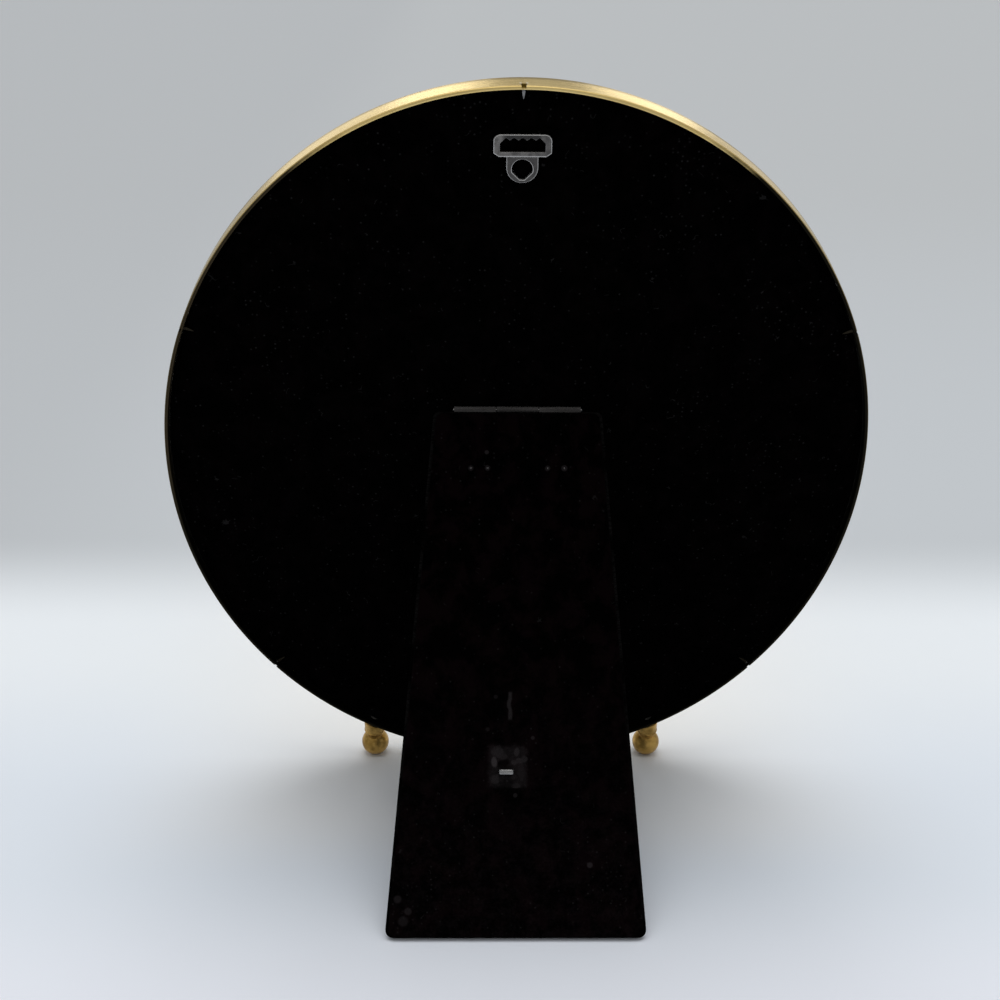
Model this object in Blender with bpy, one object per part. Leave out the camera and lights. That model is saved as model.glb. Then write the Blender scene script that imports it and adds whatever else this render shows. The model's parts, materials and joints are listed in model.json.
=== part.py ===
"""Oval brass picture frame with a velvet easel back.

The frame leans back on two turned ball feet and one hinged leg. Its own axes are the frame's own:
X to the right seen from the front, local Y through the depth towards the back, local Z up the face.
Depths are measured from the front edge of the rim, positive towards the back. An inset is a distance
in from the outline of the rim. The world has +Z up, the front faces -Y and the floor is at Z = 0.
"""
import math

import bmesh
import bpy
import numpy as np

MM = 0.001

# Rim
HALF_WIDTH = 89.0 * MM
HALF_HEIGHT = 102.0 * MM
RIM_DEPTH = 6.0 * MM
RIM_WALL = 0.9 * MM
RIM_FRONT_ROUND = 0.5 * MM
RIM_BACK_BEVEL = 0.15 * MM
LEAN = math.radians(12.0)

# Tongues lanced from the rim, which hold the back in
TONGUE_COUNT = 5
TONGUE_STEP = math.radians(65.3)
TONGUE_LENGTH = 2.55 * MM
TONGUE_WIDTH = 0.75 * MM
TONGUE_THICK = 0.4 * MM
TONGUE_TIP = 0.2 * MM
WINDOW_WIDTH = 1.4 * MM
WINDOW_END = 1.0 * MM
WINDOW_HEIGHT = 1.0 * MM
WINDOW_LAP = 0.1 * MM
NOTCH_DEPTH = 0.5 * MM

# Clearances
SEAT_GAP = 0.3 * MM
LAYER_GAP = 0.2 * MM
HOLE_GAP = 0.15 * MM
PIN_GAP = 0.05 * MM

# Layers behind the front moulding
BACK_RECESS = 2.2 * MM
BACK_VELVET = 0.6 * MM
BACK_BOARD = 1.8 * MM
SPACER_CARD = 1.0 * MM
PHOTO_PAPER = 0.3 * MM
GLASS_THICK = 1.6 * MM

# Front moulding
PHOTO_HALF_WIDTH = 50.8 * MM
SIGHT_LAP = 2.3 * MM
SIGHT_LIP = 0.8 * MM
MOULDING_WALL = 1.2 * MM
OUTER_BEAD = 0.9 * MM
INNER_BEAD = 1.3 * MM
FIELD_OUTER_RISE = 1.1 * MM
FIELD_INNER_RISE = 2.5 * MM
FIELD_CROWN = 2.2 * MM
BEAD_QUIRK = 0.5 * MM

# Ball feet
BALL_RADIUS = 4.0 * MM
FOOT_SPACING = 81.4 * MM
FOOT_DROP = 9.1 * MM
NECK_RADIUS = 2.4 * MM
COLLAR_RADIUS = 2.9 * MM
COLLAR_RISE = 5.0 * MM
STUD_RADIUS = 1.0 * MM
STUD_DEPTH = 5.0 * MM

# Hinge
PIN_HEIGHT = 19.7 * MM
PIN_RADIUS = 0.3 * MM
PIN_END = 0.3 * MM
KNUCKLE_RADIUS = 0.75 * MM
HINGE_WIDTH = 31.4 * MM
CENTRE_KNUCKLE = 10.4 * MM
LEAF_THICK = 0.35 * MM
BACK_LEAF_LENGTH = 11.0 * MM
LEG_LEAF_LENGTH = 17.0 * MM
PRONG_DROP = 14.5 * MM
BACK_PRONG_DROP = 8.5 * MM
PRONG_INNER = 7.4 * MM
PRONG_OUTER = 11.5 * MM
PRONG_WIDTH = 0.8 * MM
PRONG_THICK = 0.45 * MM
PRONG_SHOW = 0.15 * MM
BACK_PRONG_BITE = 1.2 * MM

# Leg
LEG_LENGTH = 131.35 * MM
LEG_TOP_DROP = 0.7 * MM
LEG_TOP_WIDTH = 41.4 * MM
LEG_BOTTOM_WIDTH = 65.3 * MM
LEG_BOARD = 1.8 * MM
LEG_VELVET = 0.5 * MM
VELVET_MARGIN = 0.7 * MM
LEG_TOP_ROUND = 1.5 * MM
LEG_BOTTOM_ROUND = 2.0 * MM

# Stay ribbon and its staples
RIBBON_WIDTH = 10.0 * MM
RIBBON_THICK = 0.4 * MM
RIBBON_OFFSET = 2.55 * MM
RIBBON_TAB = 11.0 * MM
LEG_STAPLE_DROP = 89.6 * MM
BACK_STAPLE_DROP = 83.0 * MM
STAPLE_WIDTH = 3.7 * MM
STAPLE_WIRE = 0.5 * MM
STAPLE_BAND = 1.2 * MM
STAPLE_CLINCH = 1.1 * MM
STAPLE_LIFT = 0.1 * MM
BACK_STAPLE_BITE = 1.4 * MM
TAB_END = 5.0 * MM

# Hanger
HANGER_MARGIN = 13.62 * MM
LOOP_WIDTH = 12.9 * MM
LOOP_HEIGHT = 5.2 * MM
LOOP_ROUND = 1.55 * MM
LOOP_CHAMFER_ACROSS = 1.2 * MM
LOOP_CHAMFER_UP = 0.85 * MM
HANGER_THICK = 0.7 * MM
HANGER_STEP = 0.5 * MM
SLOT_WIDTH = 9.95 * MM
SLOT_SILL = 1.21 * MM
SLOT_HEIGHT = 3.12 * MM
SLOT_CHAMFER = 1.2 * MM
TOOTH_PITCH = 1.9 * MM
TOOTH_COUNT = 4
TOOTH_DEPTH = 0.57 * MM
TAB_WIDTH = 7.1 * MM
TAB_DROP = 5.3 * MM
EYE_DROP = 5.65 * MM
EYE_RADIUS = 2.33 * MM
EYE_CHORD = 2.06 * MM
EYE_POINT = 2.39 * MM
COLLAR_WALL = 0.35 * MM

# Facets
OVAL_SEGMENTS = 96
LATHE_SEGMENTS = 24
WIRE_SEGMENTS = 12
ARC_STEPS = 5
FIELD_STEPS = 9

# Depths that follow from the sizes above
VELVET_FACE = RIM_DEPTH - BACK_RECESS
VELVET_FRONT = VELVET_FACE - BACK_VELVET
BOARD_BACK = VELVET_FRONT - LAYER_GAP
BOARD_FRONT = BOARD_BACK - BACK_BOARD
MOULDING_BACK = BOARD_FRONT - LAYER_GAP
SPACER_FRONT = MOULDING_BACK - SPACER_CARD
PHOTO_BACK = SPACER_FRONT - LAYER_GAP
PHOTO_FRONT = PHOTO_BACK - PHOTO_PAPER
GLASS_BACK = PHOTO_FRONT - LAYER_GAP
GLASS_FRONT = GLASS_BACK - GLASS_THICK
LIP_BACK = GLASS_FRONT - LAYER_GAP
LIP_FRONT = LIP_BACK - SIGHT_LIP

# Insets that follow from the sizes above
BOARD_INSET = RIM_WALL + SEAT_GAP
MOULDING_INSET = RIM_WALL + LAYER_GAP
GLASS_INSET = HALF_WIDTH - PHOTO_HALF_WIDTH
RABBET_INSET = GLASS_INSET - SEAT_GAP
SIGHT_INSET = GLASS_INSET + SIGHT_LAP

# Heights of the hanger's loop and eye above the centre
HANGER_HEIGHT = HALF_HEIGHT - HANGER_MARGIN
HANGER_EYE_HEIGHT = HANGER_HEIGHT - EYE_DROP

# Hinge line in the frame's own axes, and the leg's layers measured out from the pin
PIN_DEPTH = VELVET_FACE + LAYER_GAP + KNUCKLE_RADIUS
LEG_INNER_FACE = KNUCKLE_RADIUS + LAYER_GAP
LEG_BOARD_INNER = LEG_INNER_FACE + LEG_VELVET + HOLE_GAP
LEG_BOARD_OUTER = LEG_BOARD_INNER + LEG_BOARD
LEG_VELVET_BACK = LEG_BOARD_OUTER + HOLE_GAP
LEG_OUTER_FACE = LEG_VELVET_BACK + LEG_VELVET


def oval_height(x, inset=0.0):
    """Height of the oval above its centre at the distance x from the upright axis."""
    across = (HALF_WIDTH - inset)
    return (HALF_HEIGHT - inset) * math.sqrt(max(0.0, 1.0 - (x / across) ** 2))


# Places of the feet and the stand
FOOT_X = FOOT_SPACING / 2
FOOT_Z = -oval_height(FOOT_X) - FOOT_DROP
FOOT_DEPTH = RIM_DEPTH / 2
CENTRE_HEIGHT = BALL_RADIUS - FOOT_Z * math.cos(LEAN) + FOOT_DEPTH * math.sin(LEAN)
PIN_WORLD_HEIGHT = CENTRE_HEIGHT + PIN_HEIGHT * math.cos(LEAN) - PIN_DEPTH * math.sin(LEAN)


def leg_slant():
    """Angle of the leg to the upright at which its lower inner edge stands on the floor."""
    reach = math.hypot(LEG_LENGTH, LEG_INNER_FACE)
    return math.acos(PIN_WORLD_HEIGHT / reach) - math.atan2(LEG_INNER_FACE, LEG_LENGTH)


LEG_SLANT = leg_slant()
OPENING = LEG_SLANT + LEAN


def oval(inset):
    """Points of the oval outline moved in by the inset, counted from the top."""
    turn = np.arange(OVAL_SEGMENTS) * 2 * math.pi / OVAL_SEGMENTS
    return np.column_stack([(HALF_WIDTH - inset) * np.sin(turn), (HALF_HEIGHT - inset) * np.cos(turn)])


def oval_place(turn):
    """Point on the outline counted in oval turns from the top, with its outward and sideways direction."""
    point = np.array([HALF_WIDTH * math.sin(turn), HALF_HEIGHT * math.cos(turn)])
    outward = np.array([point[0] / HALF_WIDTH ** 2, point[1] / HALF_HEIGHT ** 2])
    outward /= np.linalg.norm(outward)
    return point, outward, np.array([outward[1], -outward[0]])


def arc(centre, radius, start, end, steps=ARC_STEPS):
    """Points along a circular arc between two angles in degrees."""
    angles = np.radians(np.linspace(start, end, steps + 1))
    return [(centre[0] + radius * math.cos(a), centre[1] + radius * math.sin(a)) for a in angles]


def rounded(corners, radii):
    """Outline of a convex polygon whose corners are rounded by the given radii."""
    outline = []
    count = len(corners)
    for index, (corner, radius) in enumerate(zip(corners, radii)):
        here = np.array(corner)
        before = np.array(corners[index - 1]) - here
        after = np.array(corners[(index + 1) % count]) - here
        before /= np.linalg.norm(before)
        after /= np.linalg.norm(after)
        half = math.acos(float(np.dot(before, after))) / 2
        middle = (before + after) / np.linalg.norm(before + after)
        centre = here + middle * radius / math.sin(half)
        start = here + before * radius / math.tan(half) - centre
        end = here + after * radius / math.tan(half) - centre
        first = math.atan2(start[1], start[0])
        sweep = (math.atan2(end[1], end[0]) - first + math.pi) % (2 * math.pi) - math.pi
        for step in range(ARC_STEPS + 1):
            angle = first + sweep * step / ARC_STEPS
            outline.append((centre[0] + radius * math.cos(angle), centre[1] + radius * math.sin(angle)))
    return outline


def mesh_from(name, points, faces):
    """Closed mesh with its faces turned outwards and its round parts shaded smooth."""
    mesh = bpy.data.meshes.new(name)
    mesh.from_pydata([tuple(float(v) for v in point) for point in points], [], faces)
    shape = bmesh.new()
    shape.from_mesh(mesh)
    bmesh.ops.recalc_face_normals(shape, faces=shape.faces)
    shape.to_mesh(mesh)
    shape.free()
    mesh.shade_smooth()
    mesh.set_sharp_from_angle(angle=math.radians(35))
    return mesh


def prism_parts(outlines, low, high, axis):
    """Points and faces of outlines carried from low to high along an axis.

    The outline lies in the other two axes, in the order X, Y, Z.
    """
    points = []
    faces = []
    for outline in outlines:
        count = len(outline)
        first = len(points)
        for level in (low, high):
            for a, b in outline:
                point = [a, b]
                point.insert(axis, level)
                points.append(point)
        faces.append([first + i for i in range(count)])
        faces.append([first + count + i for i in range(count)])
        for i in range(count):
            j = (i + 1) % count
            faces.append([first + i, first + j, first + count + j, first + count + i])
    return points, faces


def prism(name, outlines, low, high, axis=1):
    """Mesh of one or more outlines carried along an axis."""
    return mesh_from(name, *prism_parts(outlines, low, high, axis))


def swept_ring(name, profile):
    """Ring whose closed profile of insets and depths is carried round the oval."""
    rows = len(profile)
    points = []
    for inset, depth in profile:
        points.extend((x, depth, z) for x, z in oval(inset))
    faces = []
    for row in range(rows):
        other = (row + 1) % rows
        for i in range(OVAL_SEGMENTS):
            j = (i + 1) % OVAL_SEGMENTS
            faces.append([row * OVAL_SEGMENTS + i, row * OVAL_SEGMENTS + j,
                          other * OVAL_SEGMENTS + j, other * OVAL_SEGMENTS + i])
    return mesh_from(name, points, faces)


def turned(name, profile, centre, axis=2, segments=LATHE_SEGMENTS):
    """Solid turned about a line along an axis, from a profile of radii and heights."""
    points = []
    for radius, height in profile:
        for i in range(segments):
            angle = 2 * math.pi * i / segments
            point = [radius * math.cos(angle), radius * math.sin(angle)]
            point.insert(axis, height)
            points.append([p + c for p, c in zip(point, centre)])
    faces = [list(range(segments)), list(range((len(profile) - 1) * segments, len(profile) * segments))]
    for row in range(len(profile) - 1):
        for i in range(segments):
            j = (i + 1) % segments
            faces.append([row * segments + i, row * segments + j,
                          (row + 1) * segments + j, (row + 1) * segments + i])
    return mesh_from(name, points, faces)


def material(name, colour, roughness, metallic=0.0, see_through=1.0):
    """Principled material with the part's colour, roughness and metallic value."""
    made = bpy.data.materials.new(name)
    made.use_nodes = True
    shader = made.node_tree.nodes["Principled BSDF"]
    shader.inputs["Base Color"].default_value = (*colour, 1.0)
    shader.inputs["Roughness"].default_value = roughness
    shader.inputs["Metallic"].default_value = metallic
    shader.inputs["Alpha"].default_value = see_through
    return made


def place(name, mesh, parent, finish):
    """Adds a piece to the scene under its parent."""
    piece = bpy.data.objects.new(name, mesh)
    bpy.context.scene.collection.objects.link(piece)
    piece.parent = parent
    mesh.materials.append(finish)
    return piece


def tool(name, mesh, parent):
    """Adds a shape that only cuts or joins other pieces."""
    shape = bpy.data.objects.new(name, mesh)
    bpy.context.scene.collection.objects.link(shape)
    shape.parent = parent
    shape.display_type = "WIRE"
    shape.hide_render = True
    return shape


def combine(piece, shape, operation):
    """Cuts a shape from a piece, or joins it on."""
    step = piece.modifiers.new(shape.name, "BOOLEAN")
    step.object = shape
    step.operation = operation
    step.solver = "EXACT"


def empty(name, parent, location, slant):
    """Axes that carry pieces, turned about X."""
    axes = bpy.data.objects.new(name, None)
    bpy.context.scene.collection.objects.link(axes)
    axes.parent = parent
    axes.location = location
    axes.rotation_euler = (slant, 0.0, 0.0)
    return axes


def finishes():
    """Materials of the pieces, by name."""
    return {
        "brass": material("brass", (0.62, 0.47, 0.24), 0.32, 1.0),
        "bright_brass": material("bright_brass", (0.66, 0.47, 0.20), 0.22, 1.0),
        "steel": material("steel", (0.42, 0.42, 0.42), 0.38, 1.0),
        "wire": material("wire", (0.55, 0.55, 0.55), 0.30, 1.0),
        "glass": material("glass", (0.93, 0.96, 0.95), 0.03, 0.0, 0.3),
        "photo_paper": material("photo_paper", (0.80, 0.77, 0.70), 0.55),
        "card": material("card", (0.62, 0.60, 0.56), 0.85),
        "fibreboard": material("fibreboard", (0.10, 0.08, 0.065), 0.85),
        "leg_board": material("leg_board", (0.035, 0.033, 0.032), 0.8),
        "velvet": material("velvet", (0.006, 0.0055, 0.006), 0.95),
        "ribbon": material("ribbon", (0.02, 0.02, 0.022), 0.6),
    }


def lanced(name, shape):
    """Mesh of one prism at each tongue, from its two matching rows of (across, inward, depth)."""
    points = []
    faces = []
    count = len(shape[0])
    for index in range(TONGUE_COUNT):
        point, outward, sideways = oval_place((index - (TONGUE_COUNT - 1) / 2) * TONGUE_STEP)
        first = len(points)
        for row in shape:
            for across, inward, depth in row:
                spot = point + sideways * across - outward * inward
                points.append((spot[0], depth, spot[1]))
        faces.append([first + i for i in range(count)])
        faces.append([first + count + i for i in range(count)])
        for i in range(count):
            j = (i + 1) % count
            faces.append([first + i, first + j, first + count + j, first + count + i])
    return mesh_from(name, points, faces)


def tongue_shapes():
    """Windows through the rim, notches in its outer edge and tongues bent in from them."""
    root_depth = VELVET_FACE + LAYER_GAP
    tongue_back = root_depth + TONGUE_THICK
    base = tongue_back - WINDOW_LAP
    half = WINDOW_WIDTH / 2
    end = WINDOW_END / 2
    window = [(-half, base), (half, base), (end, base + WINDOW_HEIGHT), (-end, base + WINDOW_HEIGHT)]
    notch = [(-half, base), (half, base), (end, RIM_DEPTH + WINDOW_LAP), (-end, RIM_DEPTH + WINDOW_LAP)]
    root = NOTCH_DEPTH + LAYER_GAP
    blade = [(-TONGUE_WIDTH / 2, root), (TONGUE_WIDTH / 2, root), (TONGUE_WIDTH / 2, RIM_WALL + TONGUE_LENGTH / 2),
             (TONGUE_TIP / 2, RIM_WALL + TONGUE_LENGTH), (-TONGUE_TIP / 2, RIM_WALL + TONGUE_LENGTH),
             (-TONGUE_WIDTH / 2, RIM_WALL + TONGUE_LENGTH / 2)]
    windows = [[(across, inward, depth) for across, depth in window] for inward in (-RIM_WALL, 2 * RIM_WALL)]
    notches = [[(across, inward, depth) for across, depth in notch] for inward in (-RIM_WALL, NOTCH_DEPTH)]
    tongues = [[(across, inward, depth) for across, inward in blade] for depth in (root_depth, tongue_back)]
    return lanced("rim_windows", windows), lanced("rim_notches", notches), lanced("rim_tongues", tongues)


def rim_band(frame, finish):
    """Band bent to the oval, with its edges eased, tongues lanced inwards and holes for the foot studs."""
    profile = [(0.0, RIM_DEPTH - RIM_BACK_BEVEL), (RIM_BACK_BEVEL, RIM_DEPTH),
               (RIM_WALL - RIM_BACK_BEVEL, RIM_DEPTH), (RIM_WALL, RIM_DEPTH - RIM_BACK_BEVEL),
               (RIM_WALL, 0.0)]
    profile += arc((RIM_FRONT_ROUND, RIM_FRONT_ROUND), RIM_FRONT_ROUND, -90, -180, 3)
    band = place("rim_band", swept_ring("rim_band", profile), frame, finish["brass"])
    windows, notches, tongues = tongue_shapes()
    combine(band, tool("cut_rim_windows", windows, frame), "DIFFERENCE")
    combine(band, tool("cut_rim_notches", notches, frame), "DIFFERENCE")
    combine(band, tool("join_rim_tongues", tongues, frame), "UNION")
    for side, word in ((-1, "left"), (1, "right")):
        hole = turned("hole", [(STUD_RADIUS + HOLE_GAP, -BALL_RADIUS), (STUD_RADIUS + HOLE_GAP, 2 * FOOT_DROP)],
                      (side * FOOT_X, FOOT_DEPTH, FOOT_Z), segments=WIRE_SEGMENTS)
        combine(band, tool(f"cut_rim_stud_{word}", hole, frame), "DIFFERENCE")


def moulding_face():
    """Front face of the moulding as insets and depths, from the outer wall to the sight edge."""
    outer_centre = MOULDING_INSET + OUTER_BEAD
    field_start = MOULDING_INSET + 2 * OUTER_BEAD + BEAD_QUIRK
    inner_centre = SIGHT_INSET - INNER_BEAD - BEAD_QUIRK
    field_end = inner_centre - INNER_BEAD - BEAD_QUIRK
    face = [(MOULDING_INSET, 0.0)]
    face += arc((outer_centre, -OUTER_BEAD / 2), OUTER_BEAD, 180, 360, 8)
    for share in np.linspace(0.0, 1.0, FIELD_STEPS + 1):
        rise = FIELD_OUTER_RISE + (FIELD_INNER_RISE - FIELD_OUTER_RISE) * share
        rise += FIELD_CROWN * math.sin(math.pi * share)
        face.append((field_start + (field_end - field_start) * share, -rise))
    face += arc((inner_centre, -FIELD_INNER_RISE), INNER_BEAD, 180, 360, 8)
    face.append((SIGHT_INSET, LIP_FRONT))
    return face


def front_moulding(frame, finish):
    """Formed moulding: a beaded, crowned face with a wall at each edge and a rabbet for the glass."""
    face = moulding_face()
    inner_wall = RABBET_INSET - MOULDING_WALL
    outer_wall = MOULDING_INSET + MOULDING_WALL
    under = [(inset, depth + MOULDING_WALL) for inset, depth in face if outer_wall < inset < inner_wall]
    start = under[0][1]
    end = under[-1][1]
    profile = list(face)
    profile += [(SIGHT_INSET, LIP_BACK), (RABBET_INSET, LIP_BACK), (RABBET_INSET, MOULDING_BACK)]
    profile += [(inner_wall, MOULDING_BACK), (inner_wall, end)]
    profile += list(reversed(under))
    profile += [(outer_wall, start), (outer_wall, MOULDING_BACK), (MOULDING_INSET, MOULDING_BACK)]
    place("front_moulding", swept_ring("front_moulding", profile), frame, finish["brass"])


def filling(frame, finish):
    """Glass, photograph paper and spacer card that lie in the moulding's rabbet."""
    outline = oval(GLASS_INSET)
    place("glass_pane", prism("glass_pane", [outline], GLASS_FRONT, GLASS_BACK), frame, finish["glass"])
    place("photo_insert", prism("photo_insert", [outline], PHOTO_FRONT, PHOTO_BACK), frame,
          finish["photo_paper"])
    place("spacer_card", prism("spacer_card", [outline], SPACER_FRONT, MOULDING_BACK), frame, finish["card"])


def eye_outline(grow=0.0):
    """Eye of the hanger: round above, cut by two slanting chords and blunt below."""
    radius = EYE_RADIUS + grow
    chord = EYE_CHORD + grow
    drop = EYE_POINT + grow
    blunt = chord * math.sqrt(2.0) - drop
    turn = math.degrees(math.acos(chord / radius))
    points = arc((0.0, HANGER_EYE_HEIGHT), radius, turn - 45, 225 - turn, 15)
    return points + [(-blunt, HANGER_EYE_HEIGHT - drop), (blunt, HANGER_EYE_HEIGHT - drop)]


def slot_outline():
    """Slot of the hanger with saw teeth along its upper edge."""
    half = SLOT_WIDTH / 2
    sill = HANGER_HEIGHT - LOOP_HEIGHT / 2 + SLOT_SILL
    top = sill + SLOT_HEIGHT
    points = [(-half, sill), (half, sill), (half, top - SLOT_CHAMFER), (half - SLOT_CHAMFER, top)]
    for index in range(TOOTH_COUNT):
        tip = (TOOTH_COUNT - 1 - 2 * index) * TOOTH_PITCH / 2
        points += [(tip + TOOTH_PITCH * 0.4, top), (tip, top - TOOTH_DEPTH), (tip - TOOTH_PITCH * 0.4, top)]
    return points + [(-half + SLOT_CHAMFER, top), (-half, top - SLOT_CHAMFER)]


def hanger(frame, finish):
    """Saw-tooth hanger: a raised loop, a tab flat on the velvet and a collar clinched through the back."""
    tab_front = VELVET_FACE + LAYER_GAP
    loop_front = tab_front + HANGER_STEP
    low = HANGER_HEIGHT - LOOP_HEIGHT / 2
    high = HANGER_HEIGHT + LOOP_HEIGHT / 2
    half = LOOP_WIDTH / 2
    loop = [(-half + LOOP_CHAMFER_ACROSS, low), (half - LOOP_CHAMFER_ACROSS, low), (half, low + LOOP_CHAMFER_UP)]
    loop += arc((half - LOOP_ROUND, high - LOOP_ROUND), LOOP_ROUND, 0, 90)
    loop += arc((LOOP_ROUND - half, high - LOOP_ROUND), LOOP_ROUND, 90, 180)
    loop.append((-half, low + LOOP_CHAMFER_UP))
    plate = place("hanger_plate", prism("hanger_plate", [loop], loop_front, loop_front + HANGER_THICK), frame,
                  finish["steel"])
    tab = [(TAB_WIDTH / 2, low + SLOT_SILL * 0.7), (-TAB_WIDTH / 2, low + SLOT_SILL * 0.7)]
    tab += arc((0.0, HANGER_HEIGHT - TAB_DROP), TAB_WIDTH / 2, 180, 360, 12)
    combine(plate, tool("join_hanger_tab", prism("tab", [tab], tab_front, tab_front + HANGER_THICK), frame),
            "UNION")
    collar = prism("collar", [eye_outline(COLLAR_WALL)], BOARD_FRONT + LAYER_GAP, tab_front + HANGER_THICK / 2)
    combine(plate, tool("join_hanger_collar", collar, frame), "UNION")
    combine(plate, tool("cut_hanger_slot", prism("slot", [slot_outline()], 0.0, 2 * RIM_DEPTH), frame),
            "DIFFERENCE")
    combine(plate, tool("cut_hanger_eye", prism("eye", [eye_outline()], -RIM_DEPTH, 2 * RIM_DEPTH), frame),
            "DIFFERENCE")


def prong(x, width):
    """Outline of a square hole or blade across X, centred at x."""
    return x - width / 2, x + width / 2


def prong_places():
    """Distances of the four prongs from the upright axis."""
    return (-PRONG_OUTER, -PRONG_INNER, PRONG_INNER, PRONG_OUTER)


def box_outline(x, width, z, height):
    """Rectangle round a centre."""
    left, right = prong(x, width)
    return [(left, z - height / 2), (right, z - height / 2), (right, z + height / 2), (left, z + height / 2)]


def staple_legs():
    """Distances from the upright axis of the two legs of a staple."""
    reach = (STAPLE_WIDTH - STAPLE_WIRE) / 2
    return (RIBBON_OFFSET - reach, RIBBON_OFFSET + reach)


def wire_holes(z):
    """Outlines of the two holes for the legs of a staple bent from flat band."""
    width = STAPLE_WIRE + 2 * HOLE_GAP
    height = STAPLE_BAND + 2 * HOLE_GAP
    return [box_outline(x, width, z, height) for x in staple_legs()]


def easel_back(frame, finish):
    """Fibreboard oval with velvet on its back, pierced for the hanger, the hinge prongs and the staple."""
    board = place("back_board", prism("back_board", [oval(BOARD_INSET)], BOARD_FRONT, BOARD_BACK), frame,
                  finish["fibreboard"])
    velvet = place("back_velvet", prism("back_velvet", [oval(BOARD_INSET)], VELVET_FRONT, VELVET_FACE), frame,
                   finish["velvet"])
    holes = [eye_outline(COLLAR_WALL + HOLE_GAP)]
    for x in prong_places():
        holes.append(box_outline(x, PRONG_WIDTH + 2 * HOLE_GAP, PIN_HEIGHT - BACK_PRONG_DROP,
                                 PRONG_THICK + 2 * HOLE_GAP))
    holes += wire_holes(PIN_HEIGHT - BACK_STAPLE_DROP)
    cutter = tool("cut_back_holes", prism("back_holes", holes, -RIM_DEPTH, 2 * RIM_DEPTH), frame)
    combine(board, cutter, "DIFFERENCE")
    combine(velvet, cutter, "DIFFERENCE")


def foot(frame, finish, side, word):
    """Ball foot turned with a neck and a collar saddled to the rim, and the stud that holds it."""
    centre = (side * FOOT_X, FOOT_DEPTH, FOOT_Z)
    neck_angle = math.degrees(math.acos(NECK_RADIUS / BALL_RADIUS))
    profile = arc((0.0, 0.0), BALL_RADIUS, -85, neck_angle, 12)
    neck = BALL_RADIUS * math.sin(math.radians(neck_angle))
    for share in (0.25, 0.5, 0.75, 1.0):
        swell = NECK_RADIUS + (COLLAR_RADIUS - NECK_RADIUS) * share ** 2
        profile.append((swell, neck + (COLLAR_RISE - neck) * share))
    top = FOOT_DROP + BALL_RADIUS
    profile.append((COLLAR_RADIUS, top))
    ball = place(f"ball_foot_{word}", turned("foot", profile, centre), frame, finish["bright_brass"])
    seat = tool(f"cut_saddle_{word}", prism("saddle", [oval(-SEAT_GAP)], -RIM_DEPTH, 2 * RIM_DEPTH), frame)
    combine(ball, seat, "DIFFERENCE")
    low = FOOT_DROP - RIM_WALL - SEAT_GAP - COLLAR_RISE - STUD_DEPTH
    bore = turned("bore", [(STUD_RADIUS + HOLE_GAP, low - SEAT_GAP), (STUD_RADIUS + HOLE_GAP, 2 * top)], centre,
                  segments=WIRE_SEGMENTS)
    combine(ball, tool(f"cut_foot_bore_{word}", bore, frame), "DIFFERENCE")
    stud = place(f"foot_stud_{word}", turned("stud", [(STUD_RADIUS, low), (STUD_RADIUS, top)], centre,
                                             segments=WIRE_SEGMENTS), frame, finish["steel"])
    inside = tool(f"cut_stud_flush_{word}", prism("inside", [oval(RIM_WALL)], -RIM_DEPTH, 2 * RIM_DEPTH), frame)
    combine(stud, inside, "DIFFERENCE")


def leaf_outline(length, tabs):
    """Hinge leaf below the pin, with tabs that reach up to the knuckles they carry."""
    half = HINGE_WIDTH / 2
    shoulder = -(KNUCKLE_RADIUS + LAYER_GAP)
    points = [(-half, -length), (half, -length), (half, shoulder)]
    for left, right in reversed(tabs):
        points += [(right, shoulder), (right, 0.0), (left, 0.0), (left, shoulder)]
    points.append((-half, shoulder))
    kept = []
    for point in points:
        if not kept or math.dist(kept[-1], point) > PIN_GAP:
            kept.append(point)
    return kept


def hinge_leaf(name, axes, finish, tabs, length, side, prong_drop, prong_end):
    """Leaf with curled knuckles and four prongs. Side is -1 against the back and 1 against the leg."""
    inner = side * KNUCKLE_RADIUS
    outer = side * (KNUCKLE_RADIUS - LEAF_THICK)
    leaf = place(name, prism(name, [leaf_outline(length, tabs)], min(inner, outer), max(inner, outer)), axes,
                 finish["steel"])
    for index, (left, right) in enumerate(tabs):
        knuckle = turned("knuckle", [(KNUCKLE_RADIUS, left), (KNUCKLE_RADIUS, right)], (0.0, 0.0, 0.0), axis=0,
                         segments=LATHE_SEGMENTS)
        combine(leaf, tool(f"join_{name}_knuckle_{index}", knuckle, axes), "UNION")
    root = side * (KNUCKLE_RADIUS - LEAF_THICK / 2)
    blades = []
    for x in prong_places():
        left, right = prong(x, PRONG_WIDTH)
        point = prong_end - side * PRONG_WIDTH / 2
        blades.append([(left, root), (right, root), (right, point), (x, prong_end), (left, point)])
    prongs = prism("prongs", blades, -prong_drop - PRONG_THICK / 2, -prong_drop + PRONG_THICK / 2, axis=2)
    combine(leaf, tool(f"join_{name}_prongs", prongs, axes), "UNION")
    bore = turned("bore", [(PIN_RADIUS + PIN_GAP, -HINGE_WIDTH), (PIN_RADIUS + PIN_GAP, HINGE_WIDTH)],
                  (0.0, 0.0, 0.0), axis=0, segments=WIRE_SEGMENTS)
    combine(leaf, tool(f"cut_{name}_bore", bore, axes), "DIFFERENCE")
    return leaf


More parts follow.
